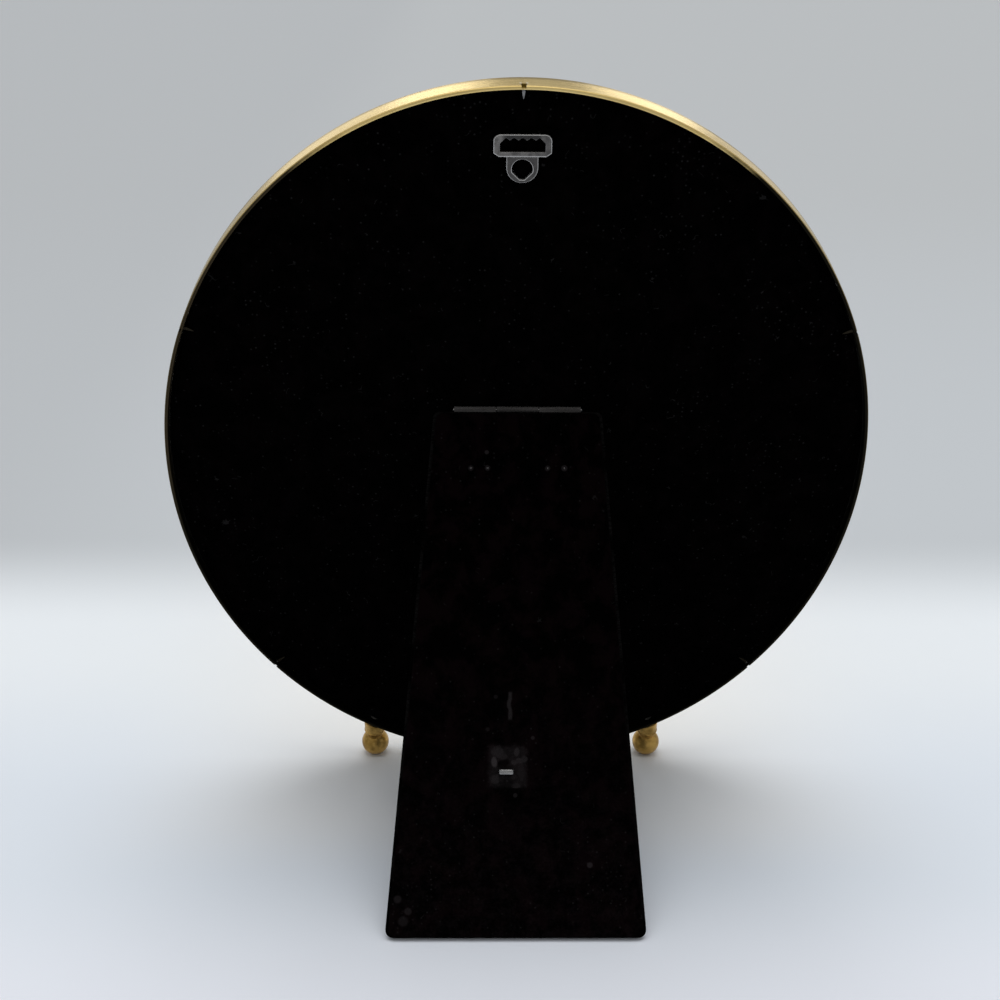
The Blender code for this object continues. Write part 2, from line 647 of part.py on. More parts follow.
def hinge(pin_axes, leg_axes, finish):
    """Back leaf with the middle knuckle, leg leaf with the two outer ones, and the wire pin."""
    middle = CENTRE_KNUCKLE / 2
    outer = HINGE_WIDTH / 2
    board_bite = BOARD_BACK - BACK_PRONG_BITE - PIN_DEPTH
    hinge_leaf("hinge_back_leaf", pin_axes, finish, [(-middle, middle)], BACK_LEAF_LENGTH, -1, BACK_PRONG_DROP,
               board_bite)
    hinge_leaf("hinge_leg_leaf", leg_axes, finish,
               [(-outer, -middle - LAYER_GAP), (middle + LAYER_GAP, outer)], LEG_LEAF_LENGTH, 1, PRONG_DROP,
               LEG_OUTER_FACE + PRONG_SHOW)
    reach = outer + PIN_END
    pin = turned("hinge_pin", [(PIN_RADIUS, -reach), (PIN_RADIUS, reach)], (0.0, 0.0, 0.0), axis=0,
                 segments=WIRE_SEGMENTS)
    place("hinge_pin", pin, pin_axes, finish["wire"])


def leg_outline(margin_side=0.0, margin_end=0.0):
    """Outline of the leg below the pin, wider at the foot, with eased corners."""
    top = LEG_TOP_WIDTH / 2 - margin_side
    bottom = LEG_BOTTOM_WIDTH / 2 - margin_side
    high = -LEG_TOP_DROP - margin_end
    low = -LEG_LENGTH + margin_end
    corners = [(-bottom, low), (bottom, low), (top, high), (-top, high)]
    return rounded(corners, (LEG_BOTTOM_ROUND, LEG_BOTTOM_ROUND, LEG_TOP_ROUND, LEG_TOP_ROUND))


def leg(axes, finish):
    """Leg board with velvet on both faces, pierced for the hinge prongs and the staple."""
    board = place("leg_board", prism("leg_board", [leg_outline()], LEG_BOARD_INNER, LEG_BOARD_OUTER), axes,
                  finish["leg_board"])
    inner = place("leg_velvet_inner",
                  prism("leg_velvet_inner", [leg_outline()], LEG_INNER_FACE, LEG_INNER_FACE + LEG_VELVET), axes,
                  finish["velvet"])
    outer = place("leg_velvet_outer",
                  prism("leg_velvet_outer", [leg_outline(VELVET_MARGIN, VELVET_MARGIN / 2)], LEG_VELVET_BACK,
                        LEG_OUTER_FACE), axes, finish["velvet"])
    holes = [box_outline(x, PRONG_WIDTH + 2 * HOLE_GAP, -PRONG_DROP, PRONG_THICK + 2 * HOLE_GAP)
             for x in prong_places()]
    holes += wire_holes(-LEG_STAPLE_DROP)
    cutter = tool("cut_leg_holes", prism("leg_holes", holes, -2 * LEG_OUTER_FACE, 2 * LEG_OUTER_FACE), axes)
    for piece in (board, inner, outer):
        combine(piece, cutter, "DIFFERENCE")


def leg_to_frame(out, up):
    """Depth and height in the frame's own axes of a point in the leg's axes, with the leg open."""
    depth = PIN_DEPTH + out * math.cos(OPENING) - up * math.sin(OPENING)
    height = PIN_HEIGHT + out * math.sin(OPENING) + up * math.cos(OPENING)
    return np.array([depth, height])


def ribbon_line():
    """Middle line of the taut ribbon: its tab on the back, the free stretch and its tab on the leg."""
    back = VELVET_FACE + LAYER_GAP + RIBBON_THICK / 2
    back_low = PIN_HEIGHT - BACK_STAPLE_DROP - TAB_END
    face = LEG_INNER_FACE - LAYER_GAP - RIBBON_THICK / 2
    leg_low = -LEG_STAPLE_DROP - TAB_END
    return [np.array([back, back_low + RIBBON_TAB]), np.array([back, back_low]),
            leg_to_frame(face, leg_low), leg_to_frame(face, leg_low + RIBBON_TAB)]


def ribbon_outline():
    """Edges of the ribbon seen from the side, mitred at its two bends."""
    line = ribbon_line()
    half = RIBBON_THICK / 2
    near = []
    far = []
    for index, point in enumerate(line):
        ahead = line[min(index + 1, len(line) - 1)] - line[min(index, len(line) - 2)]
        behind = line[max(index, 1)] - line[max(index - 1, 0)]
        ahead = ahead / np.linalg.norm(ahead)
        behind = behind / np.linalg.norm(behind)
        side_ahead = np.array([-ahead[1], ahead[0]])
        side_behind = np.array([-behind[1], behind[0]])
        mitre = side_ahead + side_behind
        mitre /= np.dot(mitre, side_ahead)
        near.append(point + mitre * half)
        far.append(point - mitre * half)
    return near + far[::-1]


def stay(frame, leg_axes, finish):
    """Ribbon that stops the leg, with a staple at each end."""
    left = RIBBON_OFFSET - RIBBON_WIDTH / 2
    ribbon = place("stay_ribbon", prism("stay_ribbon", [ribbon_outline()], left, left + RIBBON_WIDTH, axis=0),
                   frame, finish["ribbon"])
    depth = 2 * RIM_DEPTH
    back_holes = prism("holes", wire_holes(PIN_HEIGHT - BACK_STAPLE_DROP), 0.0, depth)
    combine(ribbon, tool("cut_ribbon_back", back_holes, frame), "DIFFERENCE")
    leg_holes = prism("holes", wire_holes(-LEG_STAPLE_DROP), -LEG_OUTER_FACE, LEG_OUTER_FACE)
    combine(ribbon, tool("cut_ribbon_leg", leg_holes, leg_axes), "DIFFERENCE")

    first, last = staple_legs()
    wire = STAPLE_WIRE
    half = STAPLE_BAND / 2
    outer = LEG_OUTER_FACE + STAPLE_LIFT
    inner = LEG_INNER_FACE - LAYER_GAP - RIBBON_THICK - STAPLE_LIFT
    left, right = first - wire / 2, last + wire / 2
    clinched = [(left, outer + wire), (left, inner - wire), (left + wire + STAPLE_CLINCH, inner - wire),
                (left + wire + STAPLE_CLINCH, inner), (left + wire, inner), (left + wire, outer),
                (right - wire, outer), (right - wire, inner), (right - wire - STAPLE_CLINCH, inner),
                (right - wire - STAPLE_CLINCH, inner - wire), (right, inner - wire), (right, outer + wire)]
    place("leg_staple", prism("leg_staple", [clinched], -LEG_STAPLE_DROP - half, -LEG_STAPLE_DROP + half, axis=2),
          leg_axes, finish["wire"])
    crown = VELVET_FACE + LAYER_GAP + RIBBON_THICK + STAPLE_LIFT
    point = BOARD_BACK - BACK_STAPLE_BITE
    driven = [(left, crown + wire), (left, point), (left + wire, point), (left + wire, crown),
              (right - wire, crown), (right - wire, point), (right, point), (right, crown + wire)]
    height = PIN_HEIGHT - BACK_STAPLE_DROP
    place("back_staple", prism("back_staple", [driven], height - half, height + half, axis=2), frame,
          finish["wire"])


def front_reach():
    """How far the front of the frame reaches forward of its centre, with the frame leaning."""
    reach = [(HALF_HEIGHT - inset) * math.sin(LEAN) - depth * math.cos(LEAN) for inset, depth in moulding_face()]
    ball = -FOOT_Z * math.sin(LEAN) - FOOT_DEPTH * math.cos(LEAN) + BALL_RADIUS
    return max(reach + [ball])


def back_reach():
    """How far the foot of the leg reaches behind the centre of the frame."""
    pin = PIN_HEIGHT * math.sin(LEAN) + PIN_DEPTH * math.cos(LEAN)
    ends = [(LEG_LENGTH, LEG_BOARD_OUTER), (LEG_LENGTH - VELVET_MARGIN / 2, LEG_OUTER_FACE)]
    return pin + max(down * math.sin(LEG_SLANT) + out * math.cos(LEG_SLANT) for down, out in ends)


def main():
    """Clears the scene and builds the frame standing on the floor, centred over the origin."""
    for old in list(bpy.data.objects):
        bpy.data.objects.remove(old, do_unlink=True)
    finish = finishes()
    middle = (front_reach() - back_reach()) / 2
    frame = empty("frame_axes", None, (0.0, middle, CENTRE_HEIGHT), -LEAN)
    pin_axes = empty("hinge_axes", frame, (0.0, PIN_DEPTH, PIN_HEIGHT), 0.0)
    leg_axes = empty("leg_axes", frame, (0.0, PIN_DEPTH, PIN_HEIGHT), OPENING)
    rim_band(frame, finish)
    front_moulding(frame, finish)
    filling(frame, finish)
    easel_back(frame, finish)
    hanger(frame, finish)
    for side, word in ((-1, "left"), (1, "right")):
        foot(frame, finish, side, word)
    hinge(pin_axes, leg_axes, finish)
    leg(leg_axes, finish)
    stay(frame, leg_axes, finish)


main()
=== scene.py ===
"""Looks of an oval brass picture frame that stands with its velvet back to the camera.

Lengths are metres. Frame axes: x to the side, depth from the rim's front edge towards the back, z up the
leaning face. Leg axes: x, out from the hinge pin, up along the leg. Every piece is worked out in one of
these and laid into the world, so each object itself stays at the origin.
"""
import json
import math

import bmesh
import bpy
import numpy as np
from mathutils import Matrix, Vector


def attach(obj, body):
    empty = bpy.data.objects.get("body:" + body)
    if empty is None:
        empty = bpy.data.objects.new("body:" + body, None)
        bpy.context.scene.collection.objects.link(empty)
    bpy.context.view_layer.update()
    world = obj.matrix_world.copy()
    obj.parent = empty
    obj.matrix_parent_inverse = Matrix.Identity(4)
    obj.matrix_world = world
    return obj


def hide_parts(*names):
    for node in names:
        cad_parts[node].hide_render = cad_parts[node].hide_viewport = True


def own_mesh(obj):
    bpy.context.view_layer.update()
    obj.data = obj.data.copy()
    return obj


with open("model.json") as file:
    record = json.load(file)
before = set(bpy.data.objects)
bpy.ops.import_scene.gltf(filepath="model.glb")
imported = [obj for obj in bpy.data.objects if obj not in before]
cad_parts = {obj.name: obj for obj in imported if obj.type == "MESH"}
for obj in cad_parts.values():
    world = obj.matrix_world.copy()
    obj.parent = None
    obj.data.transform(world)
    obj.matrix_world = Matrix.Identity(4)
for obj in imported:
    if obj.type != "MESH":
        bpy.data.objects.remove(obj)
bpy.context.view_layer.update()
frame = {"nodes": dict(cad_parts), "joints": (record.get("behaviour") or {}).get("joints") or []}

MM = 0.001

# Sizes shared with the solids
HALF_WIDTH = 89.0 * MM
HALF_HEIGHT = 102.0 * MM
RIM_DEPTH = 6.0 * MM
RIM_WALL = 0.9 * MM
LEAN = math.radians(12.0)
CENTRE = np.array([0.0, -20.773, 102.252]) * MM
PIN = np.array(frame["joints"][0]["pos_m"])
LEG_SLANT = math.radians(23.003)
VELVET_FACE = 3.8 * MM
PIN_DEPTH = 4.75 * MM
PIN_HEIGHT = 19.7 * MM
TONGUE_STEP = math.radians(65.3)
TONGUE_LENGTH = 2.55 * MM
WINDOW_BASE = 4.3 * MM
WINDOW_WIDTH = 1.4 * MM
WINDOW_END = 1.0 * MM
HANGER_HEIGHT = HALF_HEIGHT - 13.62 * MM
FOOT_X = 40.7 * MM
FOOT_DROP = 9.1 * MM
FOOT_DEPTH = 3.0 * MM
BALL_RADIUS = 4.0 * MM
LEG_LENGTH = 131.35 * MM
LEG_TOP_DROP = 0.7 * MM
LEG_TOP_ROUND = 1.5 * MM
LEG_BOTTOM_ROUND = 2.0 * MM
LEG_TOP_WIDTH = 41.4 * MM
LEG_BOTTOM_WIDTH = 65.3 * MM
LEG_INNER_FACE = 0.95 * MM
LEG_OUTER_FACE = 4.05 * MM
LEG_VELVET = 0.5 * MM
STAPLE_DROP = 89.6 * MM
BACK_STAPLE_DROP = 83.0 * MM
RIBBON_OFFSET = 2.55 * MM
STAPLE_BAND = 1.2 * MM
RIBBON_WIDTH = 10.0 * MM
SIGHT_INSET = 40.5 * MM

# Place across the band that marks the faces cut by the windows, further than the band itself runs
CUT_FACE = 30.0 * MM

# Heights over the floor near the top of the oval between which the painted light and shade change
NEAR_TOP = (180.0 * MM, 190.0 * MM)
AT_TOP = (190.0 * MM, 192.0 * MM)


def in_frame(x, depth, z):
    """World points of frame coordinates: turned back by the lean about X and moved to the oval's centre."""
    x, depth, z = np.broadcast_arrays(x, depth, z)
    y = CENTRE[1] + depth * math.cos(LEAN) + z * math.sin(LEAN)
    up = CENTRE[2] - depth * math.sin(LEAN) + z * math.cos(LEAN)
    return np.stack([x, y, up], axis=-1)


def on_leg(x, out, up):
    """World points of leg coordinates: turned by the leg's slant about X and moved to the hinge pin."""
    x, out, up = np.broadcast_arrays(x, out, up)
    y = PIN[1] + out * math.cos(LEG_SLANT) - up * math.sin(LEG_SLANT)
    z = PIN[2] + out * math.sin(LEG_SLANT) + up * math.cos(LEG_SLANT)
    return np.stack([x, y, z], axis=-1)


def oval_point(turn, inset):
    """Points x = (a - inset) sin t, z = (b - inset) cos t of the oval moved in by the inset."""
    return (HALF_WIDTH - inset) * np.sin(turn), (HALF_HEIGHT - inset) * np.cos(turn)


def corner(centre, radius, start, end, steps=6):
    """Arc of a circle between two angles in degrees, as rows of two coordinates."""
    angle = np.radians(np.linspace(start, end, steps + 1))
    return np.column_stack([centre[0] + radius * np.cos(angle), centre[1] + radius * np.sin(angle)])


def along(points):
    """Length run through a line of points, starting at zero."""
    step = np.linalg.norm(np.diff(points, axis=0), axis=1)
    return np.concatenate([[0.0], np.cumsum(step)])


def pairs(first, second):
    """Grid of coordinate pairs from two arrays that broadcast against each other."""
    return np.stack(np.broadcast_arrays(first, second), axis=-1)


def directions(line):
    """Unit direction at each point of a line."""
    ahead = np.gradient(line, axis=0)
    return ahead / np.linalg.norm(ahead, axis=1, keepdims=True)


def capped(grid, uv):
    """Grid with a row added at each end, drawn together to one point, so that the skin closes there."""
    middle = np.repeat(grid.mean(axis=1, keepdims=True), grid.shape[1], axis=1)
    return (np.concatenate([middle[:1], grid, middle[-1:]]),
            np.concatenate([uv[:1], uv, uv[-1:]]))


def skin(name, grid, uv, sharp=40.0, wrap_rows=False):
    """Mesh of a grid of points: each cell of rows and columns is one face.

    The columns close on themselves, and the rows may. The uv has one more column or row than the grid where
    they do, so a pattern runs on round the seam.
    """
    rows, columns = grid.shape[:2]
    row = np.arange(rows if wrap_rows else rows - 1)[:, None]
    column = np.arange(columns)[None, :]
    row, column = (a.ravel() for a in np.broadcast_arrays(row, column))
    steps = ((0, 0), (0, 1), (1, 1), (1, 0))
    faces = np.stack([((row + i) % rows) * columns + (column + j) % columns for i, j in steps], axis=1)
    corners = np.stack([uv[row + i, column + j] for i, j in steps], axis=1)
    mesh = bpy.data.meshes.new(name)
    mesh.from_pydata(grid.reshape(-1, 3), [], faces.tolist())
    mesh.uv_layers.new(name="surface").data.foreach_set("uv", corners.astype(np.float32).ravel())
    return finish_mesh(mesh, sharp)


def finish_mesh(mesh, sharp=40.0):
    """Merges doubled points, turns the faces outwards and shades the round parts smooth."""
    shape = bmesh.new()
    shape.from_mesh(mesh)
    bmesh.ops.remove_doubles(shape, verts=shape.verts, dist=2e-7)
    bmesh.ops.recalc_face_normals(shape, faces=shape.faces)
    shape.to_mesh(mesh)
    shape.free()
    mesh.shade_smooth()
    mesh.set_sharp_from_angle(angle=math.radians(sharp))
    return mesh


def ring_round_oval(name, profile, segments):
    """Closed ring: a closed profile of (inset, depth) carried round the oval."""
    turn = np.linspace(0.0, 2 * math.pi, segments + 1)
    x, z = oval_point(turn[None, :-1], profile[:, :1])
    grid = in_frame(x, profile[:, 1:], z)
    closed = np.vstack([profile, profile[:1]])
    mean = np.column_stack(oval_point(turn, profile[:, 0].mean()))
    return skin(name, grid, pairs(along(mean)[None, :], along(closed)[:, None]), wrap_rows=True)


def turned(name, profile, place):
    """Surface of revolution: each (radius, height) of the profile swept round the upright axis."""
    segments = 96
    turn = np.linspace(0.0, 2 * math.pi, segments + 1)
    radius, height = profile[:, :1], profile[:, 1:]
    grid = place(radius * np.cos(turn[None, :-1]), radius * np.sin(turn[None, :-1]), height)
    return skin(name, grid, pairs(turn[None, :] * profile[:, 0].max(), along(profile)[:, None]))


def band(name, line, wide, thick, place, level):
    """Flat band bent along a line of (x, out): a superellipse carried along it and closed at both ends.

    The section is half its size times the sign of cos t or sin t, times that number's size to the power 0.4.
    """
    ahead = directions(line)
    sides = 28
    turn = np.linspace(0.0, 2 * math.pi, sides + 1)[None, :-1]
    size = np.ones((len(line), 1))
    size[[0, -1]] = 0.0
    size[[1, -2]] = 0.8
    across, rise = (size * reach / 2 * np.sign(wave) * np.abs(wave) ** 0.4
                    for reach, wave in ((thick, np.cos(turn)), (wide, np.sin(turn))))
    grid = place(line[:, :1] + ahead[:, 1:] * across, line[:, 1:] - ahead[:, :1] * across, level + rise)
    round_it = np.linspace(0.0, 2 * (wide + thick), sides + 1)
    return skin(name, grid, pairs(round_it[None, :], along(line)[:, None]))


def evaluated(made):
    """Mesh of an object as its modifiers or curve settings leave it."""
    bpy.context.view_layer.update()
    return bpy.data.meshes.new_from_object(made.evaluated_get(bpy.context.evaluated_depsgraph_get()))


def add(name, data):
    """Adds an object to the scene."""
    made = bpy.data.objects.new(name, data)
    bpy.context.scene.collection.objects.link(made)
    return made


def cover(mesh, material):
    """Gives a mesh its one material."""
    mesh.materials.clear()
    mesh.materials.append(material)


def piece(name, mesh, material, body, replaces):
    """Adds a mesh that rides on a body, stands for solids and takes a slot's finish."""
    made = add(name, mesh)
    cover(mesh, material)
    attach(made, body)
    if replaces:
        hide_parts(*replaces)
    return made


class Value:
    """A number on a shader socket. Operators on it add Math nodes."""

    def __init__(self, paint, socket):
        self.paint = paint
        self.socket = socket

    def _math(self, operation, *values):
        return self.paint.node("ShaderNodeMath", {"operation": operation}, dict(enumerate(values)))("Value")

    def __add__(self, other):
        return self._math("ADD", self, other)

    __radd__ = __add__

    def __sub__(self, other):
        return self._math("SUBTRACT", self, other)

    def __rsub__(self, other):
        return self._math("SUBTRACT", other, self)

    def __neg__(self):
        return 0.0 - self

    def __mul__(self, other):
        return self._math("MULTIPLY", self, other)

    __rmul__ = __mul__

    def __truediv__(self, other):
        return self._math("DIVIDE", self, other)

    def __pow__(self, other):
        return self._math("POWER", self, other)

    def __abs__(self):
        return self._math("ABSOLUTE", self)

    def sin(self):
        return self._math("SINE", self)

    def most(self, other):
        return self._math("MAXIMUM", self, other)

    def step(self, low, high):
        """0 below low, 1 above high and a smooth rise between."""
        found = self.paint.node("ShaderNodeMapRange", {"interpolation_type": "SMOOTHSTEP"},
                                {"Value": self, "From Min": low, "From Max": high})
        return found("Result")


class Paint:
    """One material, or the world, and the nodes that are added to it."""

    def __init__(self, name, kind="materials", shader="Principled BSDF"):
        self.material = getattr(bpy.data, kind).new(name)
        self.material.use_nodes = True
        self.tree = self.material.node_tree
        self.shader = self.tree.nodes[shader]

    def link(self, socket, value):
        if isinstance(value, Value):
            self.tree.links.new(value.socket, socket)
        elif isinstance(value, (tuple, list)) and len(value) == 3 and socket.type == "RGBA":
            socket.default_value = (*value, 1.0)
        else:
            socket.default_value = value

    def node(self, kind, settings=None, inputs=None):
        """Adds a node with its settings and inputs. Gives a function from an output's name to its value."""
        made = self.tree.nodes.new(kind)
        for key, value in (settings or {}).items():
            setattr(made, key, value)
        for key, value in (inputs or {}).items():
            self.link(made.inputs[key], value)
        return lambda output: Value(self, made.outputs[output])

    def mix(self, share, first, second):
        """Blend of two colours by a share. Sockets 0, 6 and 7 and output 2 are the colour ones."""
        made = self.node("ShaderNodeMix", {"data_type": "RGBA"}, {0: share, 6: first, 7: second})
        return Value(self, made("Result").socket.node.outputs[2])

    def spot(self, where="Object"):
        """Coordinates in metres: the object's own, or the surface's along and across."""
        return self.node("ShaderNodeTexCoord")(where)

    def scaled(self, where, scale, shift=(0.0, 0.0, 0.0)):
        inputs = {"Vector": where, "Scale": scale, "Location": shift}
        return self.node("ShaderNodeMapping", {}, inputs)("Vector")

    def parts(self, where):
        found = self.node("ShaderNodeSeparateXYZ", {}, {"Vector": where})
        return found("X"), found("Y"), found("Z")

    def noise(self, where, scale, detail=2.0, roughness=0.5, distortion=0.0):
        """Noise at a scale, or stretched by three scales."""
        if isinstance(scale, tuple):
            where, scale = self.scaled(where, scale), 1.0
        return self.node("ShaderNodeTexNoise", {}, {"Vector": where, "Scale": scale, "Detail": detail,
                                                    "Roughness": roughness, "Distortion": distortion})("Fac")

    def cells(self, where, scale):
        found = self.node("ShaderNodeTexVoronoi", {"voronoi_dimensions": "2D"},
                          {"Vector": where, "Scale": scale})
        return found("Distance"), found("Color")

    def bump(self, height, distance, strength):
        inputs = {"Height": height, "Distance": distance, "Strength": strength}
        return self.node("ShaderNodeBump", {}, inputs)("Normal")

    def set(self, **values):
        """Sets or links sockets of the shader, named with underscores for spaces."""
        for key, value in values.items():
            self.link(self.shader.inputs[key.replace("_", " ")], value)
        return self.material


def brushed_brass(name="brushed_brass", edged=True):
    """Lacquered brass with fine lines along the band, light scuffs and a slight change of tone.

    With edged on, painted shade darkens the front edge and the back roll. The back edge, except over the
    oval's top, the wall's lower part and the inside are painted brown to black, partly tarnish and partly
    shade. The top window's cut faces are a darker brass as painted shade, with a painted highlight at its
    corners. Across the band the surface runs over the front edge to 0.8 mm, the wall to 6.0 mm and the
    back edge to 7.2 mm, then down the inside. The windows' cut faces lie beyond, at CUT_FACE.
    """
    paint = Paint(name)
    where = paint.spot("UV")
    lines = paint.noise(where, (30.0, 7000.0, 1.0), 3.0, 0.65)
    coarse = paint.noise(where, (14.0, 1300.0, 1.0), 2.0, 0.5)
    tone = paint.noise(where, (45.0, 90.0, 1.0), 3.0, 0.6)
    body = paint.spot("Object")
    x, y, z = paint.parts(body)
    marks = paint.noise(body, 900.0, 2.0, 0.5).step(0.66, 0.75)
    colour = paint.mix(tone.step(0.35, 0.7), (0.76, 0.57, 0.22), (0.85, 0.66, 0.285))
    colour = paint.mix(lines.step(0.35, 0.75) * 0.45, colour, (0.53, 0.38, 0.135))
    colour = paint.mix(marks * 0.25, colour, (0.36, 0.25, 0.11))
    rough = 0.21 + 0.09 * lines + 0.05 * tone
    if edged:
        _, across, _ = paint.parts(where)
        # Painted shade on the front edge and, more lightly, on the back roll.
        front_edge_shade = (1.0 - across.step(1.0 * MM, 2.4 * MM)) * 0.60
        rolled = across.step(5.5 * MM, 5.9 * MM) * (1.0 - across.step(6.6 * MM, 6.8 * MM))
        colour = paint.mix(front_edge_shade.most(rolled * 0.3), colour, (0.20, 0.145, 0.055))
        rough = rough + rolled * 0.30
        # Painted shade, partly tarnish: the back edge is dark except over the oval's top, where it is lit,
        # and so are the wall's lower part and the inside. The dark is browner on the upper +x side.
        wear = paint.noise(body, 160.0, 3.0, 0.6)
        high = (z + (wear - 0.5) * 0.012).step(0.180, 0.192)
        back = across.step(6.05 * MM, 6.45 * MM) * (1.0 - high)
        inside = across.step(7.05 * MM, 7.25 * MM)
        lower_wall_shade = (1.0 - z.step(0.140, 0.176)) * across.step(1.2 * MM, 4.5 * MM) * 0.85
        dull = back.most(inside).most(lower_wall_shade)
        warm = x.step(0.0, 0.07) * z.step(0.075, 0.115)
        shade_and_tarnish = paint.mix(warm * (0.5 + wear), (0.009, 0.008, 0.005), (0.042, 0.032, 0.018))
        colour = paint.mix(dull, colour, shade_and_tarnish)
        # Painted shade and highlight at the top window: its cut faces a darker brass, and bright spots at
        # its two corners.
        at_top = z.step(*AT_TOP)
        cut = across.step(0.5 * CUT_FACE, 0.8 * CUT_FACE) * at_top
        colour = paint.mix(cut, colour, (0.24, 0.16, 0.03))
        burr_highlight = 1.0 - abs(abs(x) - 0.72 * MM).step(0.10 * MM, 0.30 * MM)
        burr_highlight = burr_highlight * (1.0 - abs(y - 4.25 * MM).step(0.25 * MM, 0.55 * MM)) * at_top
        colour = paint.mix(burr_highlight, colour, (0.95, 0.84, 0.58))
        rough = rough + dull * 0.15
    normal = paint.bump(lines * 0.6 + coarse * 0.4, 0.00004, 0.5)
    return paint.set(Base_Color=colour, Metallic=1.0, Roughness=rough, Normal=normal)


def turned_brass():
    """Polished brass with faint turning lines and dull spots."""
    paint = Paint("turned_brass")
    where = paint.spot("UV")
    rings = paint.noise(where, (20.0, 5000.0, 1.0), 2.0, 0.5)
    body = paint.spot("Object")
    dull = paint.noise(body, 300.0, 4.0, 0.6)
    colour = paint.mix(dull.step(0.36, 0.66), (0.57, 0.36, 0.105), (0.29, 0.175, 0.042))
    normal = paint.bump(rings, 0.00003, 0.35)
    return paint.set(Base_Color=colour, Metallic=1.0, Roughness=0.30 + 0.20 * dull, Normal=normal)


def zinc(name, tone, rough, edges=1.0):
    """Dull plated steel with spangle and small pits. Edges lighter by the factor given for them are partly
    rubbed and partly a painted highlight, and come with painted shade.
    """
    paint = Paint(name)
    body = paint.spot("Object")
    cloud = paint.noise(body, 700.0, 3.0, 0.6)
    grain = paint.noise(body, 5200.0, 2.0, 0.6)
    light = (tone * 1.42, tone * 1.36, tone * 1.28)
    dark = (tone * 0.66, tone * 0.63, tone * 0.60)
    colour = paint.mix(cloud.step(0.32, 0.70), dark, light)
    colour = paint.mix(grain.step(0.60, 0.72) * 0.55, colour, (tone * 0.45, tone * 0.45, tone * 0.45))
    roughness = rough + 0.18 * cloud
    if edges > 1.0:
        x, _, z = paint.parts(body)
        loop_low, corner_side, corner_slope = 185.07 * MM, 5.25 * MM, 0.69
        over = z - loop_low - (abs(x) - corner_side).most(0.0) * corner_slope
        # Painted highlight: a bright band along the loop's lower edge.
        lower = over.step(-0.06 * MM, 0.0) * (1.0 - over.step(0.16 * MM, 0.45 * MM))
        # The eased edges are lighter, partly as rub and partly as painted highlight.
        rub_and_highlight = paint.node("ShaderNodeAttribute", {"attribute_name": "edge"})("Fac")
        rub_and_highlight = rub_and_highlight.step(0.05, 0.9).most(lower) * (0.65 + 0.5 * cloud)
        # Painted shade: the tab, below the loop's lower edge, is darker. The plate is also darker over the
        # top bar's middle and towards -x.
        dim = z.step(0.1888, 0.1892) * (1.0 - abs(x).step(3.4 * MM, 4.8 * MM)) * 0.95
        dim = dim.most((1.0 - x.step(-6.0 * MM, 4.0 * MM)) * 0.35)
        dim = dim.most((1.0 - over.step(-0.20 * MM, -0.05 * MM)) * 0.60)
        colour = paint.mix(dim * (0.6 + 0.8 * cloud), colour, (tone * 0.30, tone * 0.29, tone * 0.28))
        bright = min(0.9, tone * edges)
        colour = paint.mix(rub_and_highlight, colour, (bright, bright * 0.99, bright * 0.96))
        roughness = roughness - rub_and_highlight * 0.12
    normal = paint.bump(grain * 0.6 + cloud * 0.4, 0.00003, 0.5)
    return paint.set(Base_Color=colour, Metallic=1.0, Roughness=roughness, Normal=normal)


def tongue_metal():
    """Blades of the rim: painted shade makes them nearly black; the top one is painted lit past the inner
    wall.
    """
    paint = Paint("tongue_metal")
    _, run, _ = paint.parts(paint.spot("UV"))
    body = paint.spot("Object")
    _, _, z = paint.parts(body)
    wear = paint.noise(body, 1500.0, 3.0, 0.6)
    lit_grey = paint.mix(wear.step(0.3, 0.7), (0.12, 0.12, 0.12), (0.24, 0.24, 0.235))
    # Painted light: the top blade is lit, grey towards its tip and brass-brown at its root; the rest of
    # every blade is the dark painted shade.
    lit_top_tip = z.step(*NEAR_TOP) * run.step(0.6 * MM, 1.0 * MM)
    root = paint.mix(z.step(*NEAR_TOP), (0.018, 0.015, 0.010), (0.20, 0.125, 0.02))
    colour = paint.mix(lit_top_tip, root, lit_grey)
    return paint.set(Base_Color=colour, Metallic=1.0, Roughness=0.36 + 0.2 * wear,
                     Normal=paint.bump(wear, 0.00003, 0.4))


def blackened_steel():
    """Hinge steel under a satin black finish, thinner and greyer in streaks along the knuckles."""
    paint = Paint("blackened_steel")
    body = paint.spot("Object")
    streak = paint.noise(body, (120.0, 900.0, 900.0), 3.0, 0.6)
    grain = paint.noise(body, 4200.0, 2.0, 0.6)
    colour = paint.mix(streak.step(0.35, 0.70), (0.050, 0.0475, 0.0465), (0.084, 0.080, 0.079))
    colour = paint.mix(grain.step(0.58, 0.72) * 0.4, colour, (0.020, 0.019, 0.019))
    return paint.set(Base_Color=colour, Metallic=0.0, Roughness=0.50 + 0.2 * grain, Specular_IOR_Level=0.15,
                     Normal=paint.bump(grain * 0.6 + streak * 0.4, 0.00003, 0.5))


def bright_wire():
    """Drawn wire, smooth with faint lengthwise lines."""
    paint = Paint("bright_wire")
    body = paint.spot("Object")
    lines = paint.noise(body, (400.0, 6000.0, 6000.0), 2.0, 0.5)
    colour = paint.mix(lines.step(0.3, 0.7), (0.20, 0.20, 0.20), (0.34, 0.34, 0.335))
    return paint.set(Base_Color=colour, Metallic=1.0, Roughness=0.26 + 0.2 * lines,
                     Normal=paint.bump(lines, 0.00002, 0.4))


def oval_patch(x, up, side, rise, half_side, half_rise):
    """Squared distance from the middle of an oval patch, 1 at its edge. The last four are millimetres."""
    return ((x - side * MM) / (half_side * MM)) ** 2 + ((up - rise * MM) / (half_rise * MM)) ** 2


